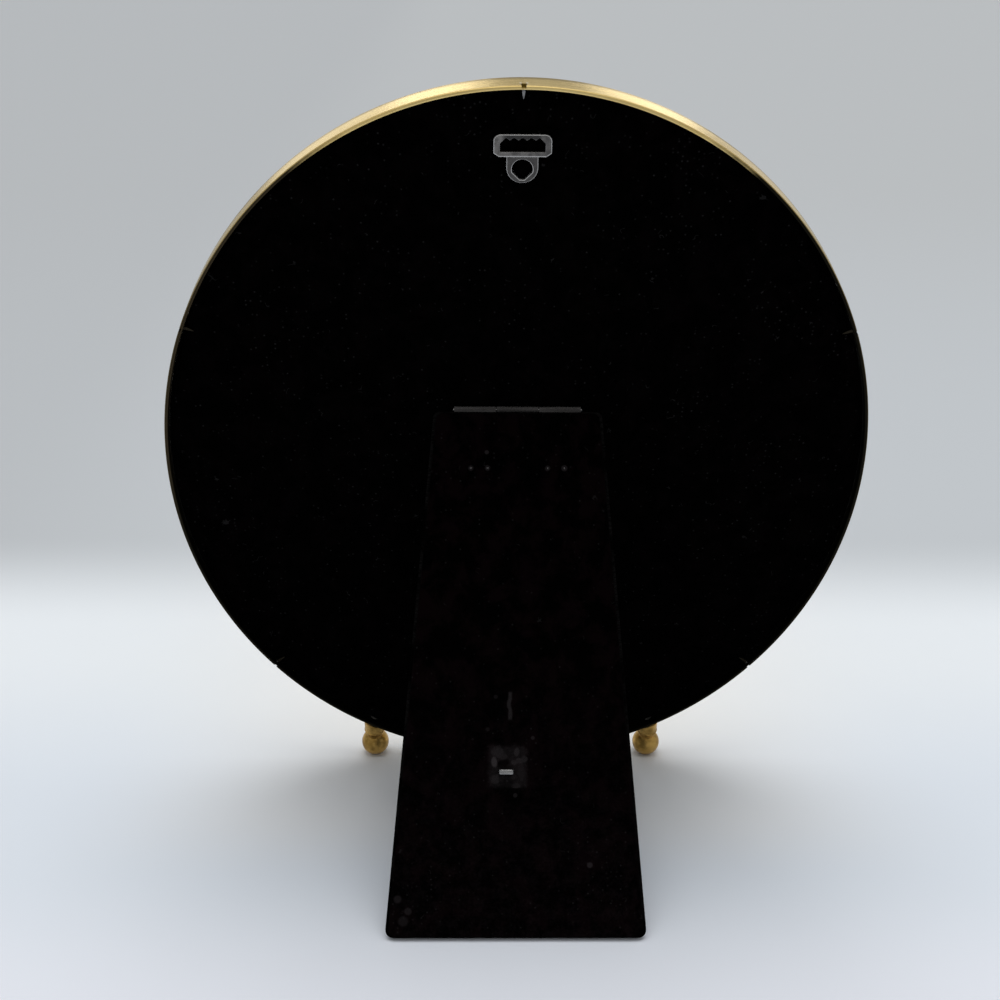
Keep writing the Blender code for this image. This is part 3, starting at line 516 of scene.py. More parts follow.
def velvet(name, warm, dusty):
    """Black flocked velvet: a fine dark pile with a mottled nap, pinpricks of dust and a few short hairs.

    Each dusty place is the side, height and radius in millimetres of a patch where more dust has caught.
    """
    paint = Paint(name)
    where = paint.spot("UV")
    x, up, _ = paint.parts(where)
    pile = paint.noise(where, (9000.0, 9000.0, 1.0), 2.0, 0.7)
    nap = paint.noise(where, (150.0, 130.0, 1.0), 5.0, 0.68, 0.3)
    dark = (0.00025, 0.0002, 0.0002)
    soft = (0.0007 + 0.0015 * warm, 0.0006 + 0.0004 * warm, 0.0006 + 0.0006 * warm)
    colour = paint.mix(nap.step(0.42, 0.62), dark, soft)
    often = paint.noise(where, (38.0, 38.0, 1.0), 3.0, 0.6).step(0.40, 0.80) * 0.5
    for side, rise, reach in dusty:
        often = often.most(1.0 - oval_patch(x, up, side, rise, reach, reach).step(0.1, 1.0))
    far, chance = paint.cells(where, 850.0)
    pick, shade, _ = paint.parts(chance)
    speck = (1.0 - far.step(0.04, 0.30)) * (pick + often * 0.30).step(0.92, 1.02)
    wave = paint.noise(where, (420.0, 420.0, 1.0), 1.0, 0.5)
    few = paint.noise(paint.scaled(where, (260.0, 260.0, 1.0), shift=(1.7, 0.0, 0.0)), 1.0, 1.0, 0.5)
    hair = (1.0 - abs(wave - 0.5).step(0.006, 0.022)) * (few + often * 0.08).step(0.70, 0.74)
    lint = (speck * (0.10 + 0.60 * shade)).most(hair * 0.5)
    colour = paint.mix(lint * (1.0 - 0.4 * warm), colour, (0.020, 0.0195, 0.0195))
    normal = paint.bump(pile * 0.5 + nap * 0.5, 0.00012, 0.6)
    return paint, colour, normal


def back_velvet():
    """Velvet of the frame's back."""
    paint, colour, normal = velvet("back_velvet_black", 0.15, ((13.7, 96.5, 9.0), (-11.6, 84.7, 4.5),
                                                               (4.2, 80.4, 2.2), (-39.0, 84.0, 10.0)))
    return paint.set(Base_Color=colour, Roughness=0.95, Specular_IOR_Level=0.0, Sheen_Weight=0.004,
                     Sheen_Roughness=0.5, Normal=normal)


def leg_velvet():
    """Velvet of the leg: a mottled mark pressed round the staple, a crooked scrape and small scuffs."""
    paint, colour, normal = velvet("leg_velvet_black", 1.0, ((26.0, -122.0, 9.0), (-22.0, -118.0, 8.0)))
    where = paint.spot("UV")
    x, up, _ = paint.parts(where)
    wander = paint.noise(where, (380.0, 380.0, 1.0), 4.0, 0.65)
    fine = paint.noise(where, (1500.0, 1500.0, 1.0), 3.0, 0.6)
    across = x - RIBBON_OFFSET
    above = up + STAPLE_DROP
    greyed = 0.006 + 0.085 * (wander * 0.6 + fine * 0.4).step(0.42, 0.66)
    colour = paint.mix((-up).step(0.040, 0.140) * greyed, colour, (0.030, 0.021, 0.024))

    def blot(side, rise, half_side, half_rise, shade, ragged=2.4):
        """Shade of a ragged patch, in millimetres from the staple."""
        near = oval_patch(across, above, side, rise, half_side, half_rise)
        return (1.0 - (near + (wander - 0.5) * ragged).step(0.25, 1.25)) * shade

    mark = 1.0 - (abs(across + 0.36 * MM) + (wander - 0.5) * 3.0 * MM).step(4.0 * MM, 5.4 * MM)
    mark = mark * (1.0 - (abs(above - 1.3 * MM) + (wander - 0.5) * 3.0 * MM).step(4.3 * MM, 5.8 * MM))
    shade = 0.21 * mark * (0.3 + 1.4 * fine)
    rubbed = ((2.1, 4.6, 2.1, 1.9, 0.40), (0.9, 3.7, 1.2, 1.3, 0.34), (-2.5, 4.8, 0.9, 1.3, 0.50),
              (-1.9, 2.3, 1.1, 0.8, 0.46), (-3.2, 2.8, 1.2, 0.8, 0.46), (-4.5, 3.2, 0.9, 1.0, 0.38),
              (2.95, 2.4, 0.85, 1.8, 0.90), (2.8, -1.9, 1.5, 1.4, 0.42), (-2.4, -3.5, 1.3, 0.8, 0.36),
              (-3.6, 0.0, 1.1, 3.0, 0.26), (-1.9, -1.4, 0.9, 0.9, 0.28))
    for spot in rubbed:
        shade = shade.most(blot(*spot) * (0.85 + 0.6 * fine))
    shade = shade * (1.0 - 0.9 * blot(0.5, 1.9, 1.8, 1.3, 1.0))
    shade = shade * (1.0 - 0.35 * blot(-0.2, -3.1, 2.1, 1.4, 1.0))
    scuffs = ((-4.0, 81.2, 0.55, 0.36), (5.2, 71.0, 0.6, 0.20), (7.2, 79.1, 0.6, 0.20),
              (0.3, 95.5, 0.6, 0.30), (7.6, 10.6, 0.6, 0.45), (-18.3, 112.9, 0.8, 0.5),
              (29.4, 121.5, 1.1, 0.30), (26.8, 124.5, 1.0, 0.32), (28.0, 127.0, 1.4, 0.24))
    prong_marks = ((11.5, 14.5, 0.75, 0.36), (7.4, 14.5, 0.75, 0.36), (-7.4, 14.5, 0.75, 0.40),
                   (-11.5, 14.5, 0.8, 0.42))
    for side, drop, half, depth in scuffs + prong_marks:
        shade = shade.most(blot(side - RIBBON_OFFSET / MM, STAPLE_DROP / MM - drop, half, half, depth, 1.0))
    colour = paint.mix(shade, colour, (0.027, 0.0235, 0.0245))
    kink = 0.33 * MM * (1.0 - abs(up + 72.9 * MM).step(0.2 * MM, 1.6 * MM))
    scrape = 1.0 - (abs(x - 1.62 * MM - kink) + (wander - 0.5) * 0.5 * MM).step(0.20 * MM, 0.70 * MM)
    scrape = scrape * (1.0 - abs(up + 73.25 * MM).step(3.0 * MM, 3.8 * MM))
    colour = paint.mix(scrape * (0.50 + 0.5 * fine), colour, (0.0175, 0.0155, 0.016))
    return paint.set(Base_Color=colour, Roughness=0.95, Specular_IOR_Level=0.0, Sheen_Weight=0.006,
                     Sheen_Roughness=0.5, Normal=normal)


def board(name, dark, light, patchy=0.3, sheen=0.2):
    """Pressed board: matted fibres and cloudy patches of the darker tone."""
    paint = Paint(name)
    body = paint.spot("Object")
    fibres = paint.noise(body, (900.0, 900.0, 2500.0), 4.0, 0.7)
    cloud = paint.noise(body, 120.0, 3.0, 0.5)
    colour = paint.mix(fibres.step(0.3, 0.75), dark, light)
    colour = paint.mix(cloud.step(0.42, 0.62) * patchy, colour, dark)
    return paint.set(Base_Color=colour, Roughness=0.82 + 0.12 * fibres, Specular_IOR_Level=sheen,
                     Normal=paint.bump(fibres, 0.00008, 0.6))


def paper():
    """Plain blank paper with a faint tooth and a little yellowing."""
    paint = Paint("blank_paper")
    body = paint.spot("Object")
    tooth = paint.noise(body, 5000.0, 3.0, 0.6)
    tone = paint.noise(body, 30.0, 3.0, 0.5)
    colour = paint.mix(tone.step(0.3, 0.7), (0.80, 0.77, 0.69), (0.74, 0.70, 0.61))
    colour = paint.mix(tooth.step(0.45, 0.7) * 0.12, colour, (0.62, 0.58, 0.50))
    return paint.set(Base_Color=colour, Roughness=0.5 + 0.15 * tooth, Normal=paint.bump(tooth, 0.00002, 0.3))


def pane():
    """Clear glass, a little green, with faint dust."""
    paint = Paint("clear_glass")
    body = paint.spot("Object")
    dust = paint.noise(body, 900.0, 4.0, 0.7).step(0.62, 0.80)
    colour = paint.mix(dust, (0.90, 0.95, 0.93), (0.80, 0.81, 0.79))
    paint.material.surface_render_method = "BLENDED"
    return paint.set(Base_Color=colour, Roughness=0.02 + 0.25 * dust, Alpha=0.12 + 0.08 * dust, IOR=1.5,
                     Specular_IOR_Level=0.6)


def woven_tape():
    """Black woven tape: warp and weft ribs with a firmer edge."""
    paint = Paint("woven_tape")
    x, up, _ = paint.parts(paint.spot("UV"))
    warp = (x * (2 * math.pi / (0.45 * MM))).sin()
    weft = (up * (2 * math.pi / (0.38 * MM))).sin()
    weave = warp * weft
    worn = paint.noise(paint.spot("UV"), (300.0, 300.0, 1.0), 3.0, 0.6)
    edge = abs(x).step(0.42 * RIBBON_WIDTH, 0.46 * RIBBON_WIDTH)
    colour = paint.mix(weave.step(-0.4, 0.8), (0.006, 0.006, 0.007), (0.024, 0.024, 0.026))
    colour = paint.mix(worn.step(0.45, 0.8) * 0.4 + edge * 0.2, colour, (0.040, 0.040, 0.042))
    return paint.set(Base_Color=colour, Roughness=0.7 - 0.1 * weave, Sheen_Weight=0.1,
                     Normal=paint.bump(weave * 0.5 + worn * 0.3, 0.00008, 0.7))


brass = brushed_brass()
front_brass = brushed_brass("front_brass", False)
foot_brass = turned_brass()
hanger_zinc = zinc("hanger_zinc", 0.135, 0.42, 4.0)
stud_steel = zinc("stud_steel", 0.30, 0.40)
hinge_steel = blackened_steel()
tongue_steel = tongue_metal()
wire = bright_wire()
cloth_back = back_velvet()
cloth_leg = leg_velvet()
tape = woven_tape()

for node, material in (
        ("glass_pane", pane()),
        ("photo_insert", paper()),
        ("spacer_card", board("grey_card", (0.46, 0.44, 0.41), (0.64, 0.62, 0.57))),
        ("back_board", board("brown_fibreboard", (0.050, 0.040, 0.032), (0.13, 0.105, 0.08))),
        ("leg_board", board("black_board", (0.0005, 0.0004, 0.0004), (0.0075, 0.007, 0.007), 1.0, 0.0)),
        ("hinge_back_leaf", hinge_steel),
        ("hinge_leg_leaf", hinge_steel),
        ("hinge_pin", wire),
        ("foot_stud_left", stud_steel),
        ("foot_stud_right", stud_steel)):
    cover(frame["nodes"][node].data, material)


def rim():
    """Band of the frame: a slightly crowned wall with both edges rolled, carried round the oval.

    The wall's inset is 0.03 mm times the square of the way from its middle to an edge. The front roll is a
    quarter circle, and the back roll is one at each of its two corners.
    """
    roll = 0.28 * MM
    front = 0.5 * MM
    wall = np.linspace(0.7 * MM, RIM_DEPTH - roll, 16)
    crown = 0.03 * MM * (2 * (wall - front) / (RIM_DEPTH - front - roll) - 1.0) ** 2
    profile = np.vstack([
        corner((front, front), front, 270, 180),
        np.column_stack([crown, wall])[:-1],
        corner((roll, RIM_DEPTH - roll), roll, 180, 90),
        corner((RIM_WALL - roll, RIM_DEPTH - roll), roll, 90, 0),
        [[RIM_WALL, VELVET_FACE], [RIM_WALL, 0.0]]])
    mesh = ring_round_oval("rim_metal", profile, 720)
    made = piece("rim_metal", mesh, brass, "frame", ["rim_band"])
    half, end = WINDOW_WIDTH / 2, WINDOW_END / 2
    low = WINDOW_BASE
    for name, high, reach in (("window_cutter", low + 1.0 * MM, 2 * RIM_WALL),
                              ("notch_cutter", RIM_DEPTH + 0.1 * MM, 0.5 * MM)):
        cut_away(made, name, [(-half, low), (half, low), (end, high), (-end, high)], reach)
    made.data.shade_smooth()
    made.data.set_sharp_from_angle(angle=math.radians(40.0))


def cut_away(made, name, outline, reach):
    """Cuts a prism of (across, depth) at each tongue, from outside the wall to the reach inwards."""
    points, faces = [], []
    count = len(outline)
    for index in range(-2, 3):
        centre, outward, sideways = rim_place(index * TONGUE_STEP)
        first = len(points)
        for inward in (-RIM_WALL, reach):
            for across, depth in outline:
                spot = centre + sideways * across - outward * inward
                points.append(in_frame(spot[0], depth, spot[1]))
        faces += [[first + i for i in range(count)], [first + count + i for i in reversed(range(count))]]
        faces += [[first + i, first + count + i, first + count + (i + 1) % count, first + (i + 1) % count]
                  for i in range(count)]
    mesh = bpy.data.meshes.new(name)
    mesh.from_pydata(points, [], faces)
    corners = np.tile([0.0, CUT_FACE], len(mesh.loops)).astype(np.float32)
    mesh.uv_layers.new(name="surface").data.foreach_set("uv", corners)
    cutter = add(name, finish_mesh(mesh))
    cut = made.modifiers.new(name, "BOOLEAN")
    cut.object = cutter
    cut.operation = "DIFFERENCE"
    cut.solver = "EXACT"
    result = evaluated(made)
    made.modifiers.clear()
    made.data = result
    bpy.data.objects.remove(cutter)


def rim_place(turn):
    """Point of the outline at an oval turn, with its outward and sideways directions."""
    centre = np.array([HALF_WIDTH * math.sin(turn), HALF_HEIGHT * math.cos(turn)])
    outward = np.array([math.sin(turn) / HALF_WIDTH, math.cos(turn) / HALF_HEIGHT])
    outward /= np.linalg.norm(outward)
    return centre, outward, np.array([outward[1], -outward[0]])


def tongues():
    """Five blades bent in from the rim, each a flat bar that dips to the velvet and narrows to its tip.

    Its depth is 4.02 mm with a hump, 0.30 mm times e to minus the square of (share - 0.08) / 0.14.
    """
    for index, word in zip(range(-2, 3), ("low_left", "left", "top", "right", "low_right")):
        centre, outward, sideways = rim_place(index * TONGUE_STEP)
        share = np.linspace(0.0, 1.0, 21)
        inward = RIM_WALL * 0.7 + (TONGUE_LENGTH + 0.25 * RIM_WALL) * share
        depth = 4.02 * MM + 0.30 * MM * np.exp(-((share - 0.08) / 0.14) ** 2)
        half = np.interp(share, [0.0, 0.45, 0.92, 1.0], [0.375, 0.36, 0.14, 0.05]) * MM
        thick = 0.34 * MM
        section = np.array([[-1, 0], [1, 0], [1, 1], [-1, 1]], float)
        across = half[:, None] * section[None, :, 0]
        level = depth[:, None] + thick * section[None, :, 1]
        spot_x = centre[0] + sideways[0] * across - outward[0] * inward[:, None]
        spot_z = centre[1] + sideways[1] * across - outward[1] * inward[:, None]
        run = np.arange(1, len(share) + 1)[:, None] * 0.2 * MM
        grid, uv = capped(in_frame(spot_x, level, spot_z), pairs(np.arange(5)[None, :] * MM, run))
        mesh = skin(f"rim_tongue_{word}", grid, uv, 30.0)
        made = piece(f"rim_tongue_{word}", mesh, tongue_steel, "frame", [])
        edge = made.modifiers.new("eased_edges", "BEVEL")
        edge.width = 0.06 * MM
        edge.segments = 2
        edge.limit_method = "ANGLE"
        edge.angle_limit = math.radians(30.0)


def moulding():
    """Front of the frame: a beaded section carried round the oval, with a sight edge over the glass.

    Between its two beads the face stands 1.1 mm forward, plus 1.4 mm times the share of the way, plus 2.2 mm
    times the sine of that share of a half turn. The hollow behind it lies one sheet's thickness deeper.
    """
    outer = 1.1 * MM
    sheet = 1.2 * MM
    bead = 0.9 * MM
    sight_bead = 1.3 * MM
    step = 0.5 * MM
    start = outer + 2 * bead + step
    sight_centre = SIGHT_INSET - sight_bead - step
    end = sight_centre - sight_bead - step
    share = np.linspace(0.0, 1.0, 41)
    height = -(1.1 + 1.4 * share + 2.2 * np.sin(np.pi * share)) * MM
    lip_front, lip_back, back = -3.5 * MM, -2.7 * MM, 1.0 * MM
    lip_round = 0.2 * MM
    glass_inset, seat_gap = 38.2 * MM, 0.3 * MM
    rabbet = glass_inset - seat_gap
    profile = np.vstack([
        [[outer, back], [outer, 0.0]],
        corner((outer + bead, -bead / 2), bead, 180, 360, 16),
        np.column_stack([start + (end - start) * share, height]),
        corner((sight_centre, -2.5 * MM), sight_bead, 180, 360, 20),
        corner((SIGHT_INSET - lip_round, lip_front + lip_round), lip_round, 270, 360, 4),
        [[SIGHT_INSET, lip_back], [rabbet, lip_back], [rabbet, back], [rabbet - sheet, back],
         [rabbet - sheet, -1.3 * MM]],
        np.column_stack([np.linspace(end, start, 20), height[::-2][:20] + sheet]),
        [[outer + sheet, 0.2 * MM], [outer + sheet, back]]])
    mesh = ring_round_oval("front_moulding_metal", profile, 480)
    piece("front_moulding_metal", mesh, front_brass, "frame", ["front_moulding"])


def back_cloth():
    """Velvet on the back: an oval dish, closed behind, whose pile stands lower at the edge.

    The pile's waves are 0.10 mm times (sin(61 x + 1.3) sin(47 z) - 1), with x and z in metres.
    """
    inset = 0.92 * MM
    wave, edge_drop, underside = 0.10 * MM, 0.45 * MM, 3.2 * MM
    turn = np.linspace(0.0, 2 * math.pi, 361)
    share = np.concatenate([np.linspace(0.0, 0.96, 90), np.linspace(0.965, 1.0, 16)])
    x = (HALF_WIDTH - inset) * share[:, None] * np.sin(turn[None, :])
    z = (HALF_HEIGHT - inset) * share[:, None] * np.cos(turn[None, :])
    edge = np.clip((share[:, None] - 0.985) / 0.015, 0.0, 1.0)
    swell = wave * (np.sin(x * 61.0 + 1.3) * np.sin(z * 47.0) - 1.0)
    depth = VELVET_FACE + swell - edge_drop * edge ** 2
    back = np.full_like(depth[-1:], underside)
    grid = np.concatenate([in_frame(x, depth, z), in_frame(x[-1:], back, z[-1:]),
                           in_frame(x[:1], back, z[:1])])
    flat = np.stack([x, z], axis=-1)
    uv = np.concatenate([flat, flat[-1:], flat[:1]])
    mesh = skin("back_velvet_cloth", grid[:, :-1], uv, 60.0)
    made = piece("back_velvet_cloth", mesh, cloth_back, "frame", ["back_velvet"])


def leg_half_width(up):
    """Half the leg's width at a height up along it."""
    share = np.clip((-up - LEG_TOP_DROP) / (LEG_LENGTH - LEG_TOP_DROP), 0.0, 1.0)
    return (LEG_TOP_WIDTH + (LEG_BOTTOM_WIDTH - LEG_TOP_WIDTH) * share) / 2


def leg_cloth(name, node, base, face, margin):
    """Velvet on one side of the leg: rows across a tapered panel with round corners and a rolled edge.

    The pile's waves are 0.06 mm times (sin(170 x + 0.4) sin(95 up) - 1), with x and up in metres.
    """
    wave, rolled = 0.06 * MM, 0.5 * MM
    high = -LEG_TOP_DROP - margin / 2
    low = -LEG_LENGTH + margin / 2
    share = (1.0 - np.cos(np.linspace(0.0, np.pi, 141))) / 2
    up = high + (low - high) * share
    half = leg_half_width(up) - margin
    for end, radius in ((high, LEG_TOP_ROUND), (low, LEG_BOTTOM_ROUND)):
        gap = np.clip(1.0 - np.abs(up - end) / radius, 0.0, 1.0)
        half = half - radius * (1.0 - np.sqrt(1.0 - gap ** 2))
    side = -np.cos(np.linspace(0.0, np.pi, 91))
    x = half[:, None] * side[None, :]
    rise = face - base
    to_side = half[:, None] - np.abs(x)
    to_end = np.minimum(high - up, up - low)[:, None]
    inside = np.clip(np.minimum(to_side, to_end) / rolled, 0.0, 1.0)
    swell = wave * (np.sin(x * 170.0 + 0.4) * np.sin(up[:, None] * 95.0) - 1.0) * np.sign(rise)
    pile = base + rise * (0.35 + 0.65 * np.sqrt(1.0 - (1.0 - inside) ** 2)) + swell * inside
    rows = up[:, None] + np.zeros_like(x)
    top = on_leg(x, pile, rows)
    under = on_leg(x, np.full_like(x, base), rows)
    grid = np.concatenate([top, under[:, ::-1]], axis=1)
    flat = np.stack([x, rows], axis=-1)
    uv = np.concatenate([flat, flat[:, ::-1], flat[:, :1]], axis=1)
    mesh = skin(name, *capped(grid, uv), 60.0)
    made = piece(name, mesh, cloth_leg, "leg", [node])


def ball_foot(side, word):
    """Foot: a ball, a neck and a collar turned about one axis, its top edge drawn up to the rim's curve.

    The neck's radius is 2.4 mm, plus 0.5 mm times the square of the share of the way up.
    """
    drop = HALF_HEIGHT * math.sqrt(1.0 - (FOOT_X / HALF_WIDTH) ** 2) + FOOT_DROP
    ball = corner((0.0, 0.0), BALL_RADIUS, -90, 53, 40)
    share = np.linspace(0.0, 1.0, 14)[1:]
    neck = np.column_stack([(2.4 + 0.5 * share ** 2) * MM, (3.2 + 1.9 * share) * MM])
    collar, collar_base, top = 2.9 * MM, 5.7 * MM, 9.0 * MM
    lip = corner((2.75 * MM, 5.3 * MM), 0.28 * MM, -60, 60, 8)
    upper = np.column_stack([np.full(7, collar), np.linspace(collar_base, top, 7)])
    profile = np.vstack([ball, neck, lip, upper, [[0.0, top]]])
    profile[0, 0] = 0.0

    def place(x, y, height):
        x, y, height = np.broadcast_arrays(x, y, height)
        world_x = side * FOOT_X + x
        clear = 0.3 * MM
        rim_edge = -(HALF_HEIGHT + clear) * np.sqrt(1.0 - (world_x / (HALF_WIDTH + clear)) ** 2)
        z = np.minimum(height - drop, rim_edge)
        return in_frame(world_x, FOOT_DEPTH + y, z)

    mesh = turned(f"foot_{word}", profile, place)
    piece(f"foot_{word}", mesh, foot_brass, "frame", [f"ball_foot_{word}"])


def hanger():
    """Hanger: flat outlines with coined edges for the raised loop, the lower tab and the eye's collar."""
    low, high, half = HANGER_HEIGHT - 2.6 * MM, HANGER_HEIGHT + 2.6 * MM, 6.45 * MM
    tab_height, eye_height = HANGER_HEIGHT - 5.3 * MM, HANGER_HEIGHT - 5.65 * MM
    bend, cut, tab_top, tab_half = 1.55 * MM, 1.2 * MM, low + 0.85 * MM, 3.55 * MM
    loop = np.vstack([[[-half + cut, low], [half - cut, low], [half, tab_top]],
                      corner((half - bend, high - bend), bend, 0, 90),
                      corner((bend - half, high - bend), bend, 90, 180),
                      [[-half, tab_top]]])
    sill = low + 1.21 * MM
    top = sill + 3.12 * MM
    wide = 4.975 * MM
    tooth_pitch, tooth_half, tooth_depth = 1.9, 0.76 * MM, 0.57 * MM
    slot = [[-wide, sill], [wide, sill], [wide, top - cut], [wide - cut, top]]
    for index in range(4):
        tip = (3 - 2 * index) * tooth_pitch / 2 * MM
        slot += [[tip + tooth_half, top], [tip, top - tooth_depth], [tip - tooth_half, top]]
    slot += [[-wide + cut, top], [-wide, top - cut]]
    tab = np.vstack([[[tab_half, tab_top], [-tab_half, tab_top]],
                     corner((0.0, tab_height), tab_half, 180, 360, 24)])
    hole = eye(eye_height, 0.0)
    # The last column, wear, is the share of rub and painted highlight on the first hole's edges.
    for name, outlines, back, front, ease, wear in (
            ("hanger_loop", [loop, np.array(slot)], 4.5, 5.2, 0.22, 0.25),
            ("hanger_tab", [tab, hole], 4.0, 4.7, 0.20, 1.0),
            ("hanger_collar", [eye(eye_height, 0.35 * MM), hole], 1.25, 4.3, 0.05, 1.0)):
        mesh = plate(name, outlines, back * MM, front * MM, ease * MM, wear)
        piece(name, mesh, hanger_zinc, "frame", ["hanger_plate"])


def eye(height, grow):
    """Outline of the hanger's eye: an arc above, two chords at 45 degrees and a blunt end below."""
    radius, chord, drop = 2.33 * MM + grow, 2.06 * MM + grow, 2.39 * MM + grow
    turn = math.degrees(math.acos(chord / radius))
    blunt = chord * math.sqrt(2.0) - drop
    return np.vstack([corner((0.0, height), radius, turn - 45, 225 - turn, 40),
                      [[-blunt, height - drop], [blunt, height - drop]]])


def plate(name, outlines, low, high, ease, hole_rub_and_highlight):
    """Flat plate: closed outlines in x and z, with holes, filled and carried from low to high in depth.

    The attribute "edge", which sets the rub and painted highlight, is 1 on the eased outer edges, the given
    share on those of the first hole, and 0 on the two flat faces.
    """
    curve = bpy.data.curves.new(name, "CURVE")
    curve.dimensions = "2D"
    curve.fill_mode = "BOTH"
    curve.extrude = (high - low) / 2 - ease
    curve.bevel_depth = ease
    curve.bevel_resolution = 3
    curve.offset = -ease
    for outline in outlines:
        line = curve.splines.new("POLY")
        line.points.add(len(outline) - 1)
        line.points.foreach_set("co", np.column_stack([outline, np.zeros(len(outline)),
                                                       np.ones(len(outline))]).ravel())
        line.use_cyclic_u = True
    flat = add(name, curve)
    mesh = evaluated(flat)
    bpy.data.objects.remove(flat)
    points = np.empty(len(mesh.vertices) * 3)
    mesh.vertices.foreach_get("co", points)
    points = points.reshape(-1, 3)
    edge = (np.abs(points[:, 2]) < (high - low) / 2 - 1e-7).astype(np.float32)
    if hole_rub_and_highlight < 1.0:
        least, most = outlines[1].min(axis=0) - 1.3 * ease, outlines[1].max(axis=0) + 1.3 * ease
        edge[((points[:, :2] > least) & (points[:, :2] < most)).all(axis=1)] *= hole_rub_and_highlight
    mesh.attributes.new("edge", "FLOAT", "POINT").data.foreach_set("value", edge)
    placed = in_frame(points[:, 0], (low + high) / 2 - points[:, 2], points[:, 1])
    mesh.vertices.foreach_set("co", placed.ravel())
    return finish_mesh(mesh, 25.0)


def staple_line(crown, foot, clinch):
    """Middle line of a staple in (x, out): up one leg, across the crown, down the other, with round bends.

    Where it is clinched, both ends turn in under what it holds.
    """
    reach, bend, turned_in = 1.6 * MM, 0.35 * MM, 1.15 * MM
    x0, x1 = RIBBON_OFFSET - reach, RIBBON_OFFSET + reach
    sign = np.sign(crown - foot)
    level = np.linspace(foot, crown - bend * sign, 8)
    turn_left = corner((x0 + bend, 0.0), bend, 180, 90)
    turn_right = corner((x1 - bend, 0.0), bend, 90, 0)
    for turn in (turn_left, turn_right):
        turn[:, 1] = crown - bend * sign + turn[:, 1] * sign
    line = np.vstack([np.column_stack([np.full(8, x0), level]), turn_left[1:],
                      np.column_stack([np.linspace(x0 + bend, x1 - bend, 8)[1:-1], np.full(6, crown)]),
                      turn_right[:-1], np.column_stack([np.full(8, x1), level[::-1]])])
    if clinch:
        under = np.full(5, foot - bend * 0.5 * sign)
        line = np.vstack([np.column_stack([np.linspace(x0 + turned_in, x0, 5), under])[:-1], line,
                          np.column_stack([np.linspace(x1, x1 - turned_in, 5), under])[1:]])
    return line


def staples():
    """Staple through the leg, clinched, and staple into the back, both of flat band."""
    thick = 0.5 * MM
    for word, body, line, place, level in (
            ("leg", "leg", staple_line(LEG_OUTER_FACE + 0.35 * MM, 0.15 * MM, True), on_leg, -STAPLE_DROP),
            ("back", "frame", staple_line(4.75 * MM, 1.7 * MM, False), in_frame,
             PIN_HEIGHT - BACK_STAPLE_DROP)):
        mesh = band(f"{word}_staple_wire", line, STAPLE_BAND, thick, place, level)
        piece(f"{word}_staple_wire", mesh, wire, body, [f"{word}_staple"])


def ribbon():
    """Taut ribbon: a thin strip along a line from the back to the leg, with a part under each staple.

    Each bend is a curve of the second degree that leaves and meets its two straights 0.9 mm from the corner.
    The ribbon rides on the frame.
    """
    opening = LEG_SLANT + LEAN
    thick, gap, bend = 0.4 * MM, 0.2 * MM, 0.9 * MM
    held, past = 11.0 * MM, 5.0 * MM

    def from_leg(out, up):
        depth = PIN_DEPTH + out * math.cos(opening) - up * math.sin(opening)
        return np.array([depth, PIN_HEIGHT + out * math.sin(opening) + up * math.cos(opening)])

    back = VELVET_FACE + gap + thick / 2
    face = LEG_INNER_FACE - gap - thick / 2
    low = PIN_HEIGHT - BACK_STAPLE_DROP - past
    leg_low = -STAPLE_DROP - past
    corners = [np.array([back, low + held]), np.array([back, low]), from_leg(face, leg_low),
               from_leg(face, leg_low + held)]
    line = [corners[0]]
    for before, here, after in zip(corners, corners[1:], corners[2:]):
        first = (before - here) / np.linalg.norm(before - here) * bend
        last = (after - here) / np.linalg.norm(after - here) * bend
        share = np.linspace(0.0, 1.0, 9)[:, None]
        line += list(here + first * (1 - share) ** 2 + last * share ** 2)
    line.append(corners[3])
    coarse = np.array(line)
    run = along(coarse)
    spaced = np.unique(np.concatenate([np.linspace(0.0, run[-1], 240), run]))
    path = np.column_stack([np.interp(spaced, run, coarse[:, 0]), np.interp(spaced, run, coarse[:, 1])])
    ahead = directions(path)
    normal = np.column_stack([-ahead[:, 1], ahead[:, 0]])
    section = np.vstack([np.column_stack([np.linspace(-side, side, 21), np.full(21, side)])
                         for side in (0.5, -0.5)])
    x = RIBBON_OFFSET + section[None, :, 0] * RIBBON_WIDTH
    depth = path[:, :1] + normal[:, :1] * section[None, :, 1] * thick
    z = path[:, 1:] + normal[:, 1:] * section[None, :, 1] * thick
    over = np.append(section[:, 0], section[0, 0])[None, :] * RIBBON_WIDTH
    grid, uv = capped(in_frame(x, depth, z), pairs(over, spaced[:, None]))
    mesh = skin("stay_ribbon_tape", grid, uv, 50.0)
    made = piece("stay_ribbon_tape", mesh, tape, "frame", ["stay_ribbon"])
    anchor = in_frame(RIBBON_OFFSET, back, low)
    backwards = in_frame(RIBBON_OFFSET, back + 1.0, low) - anchor
    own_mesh(made)


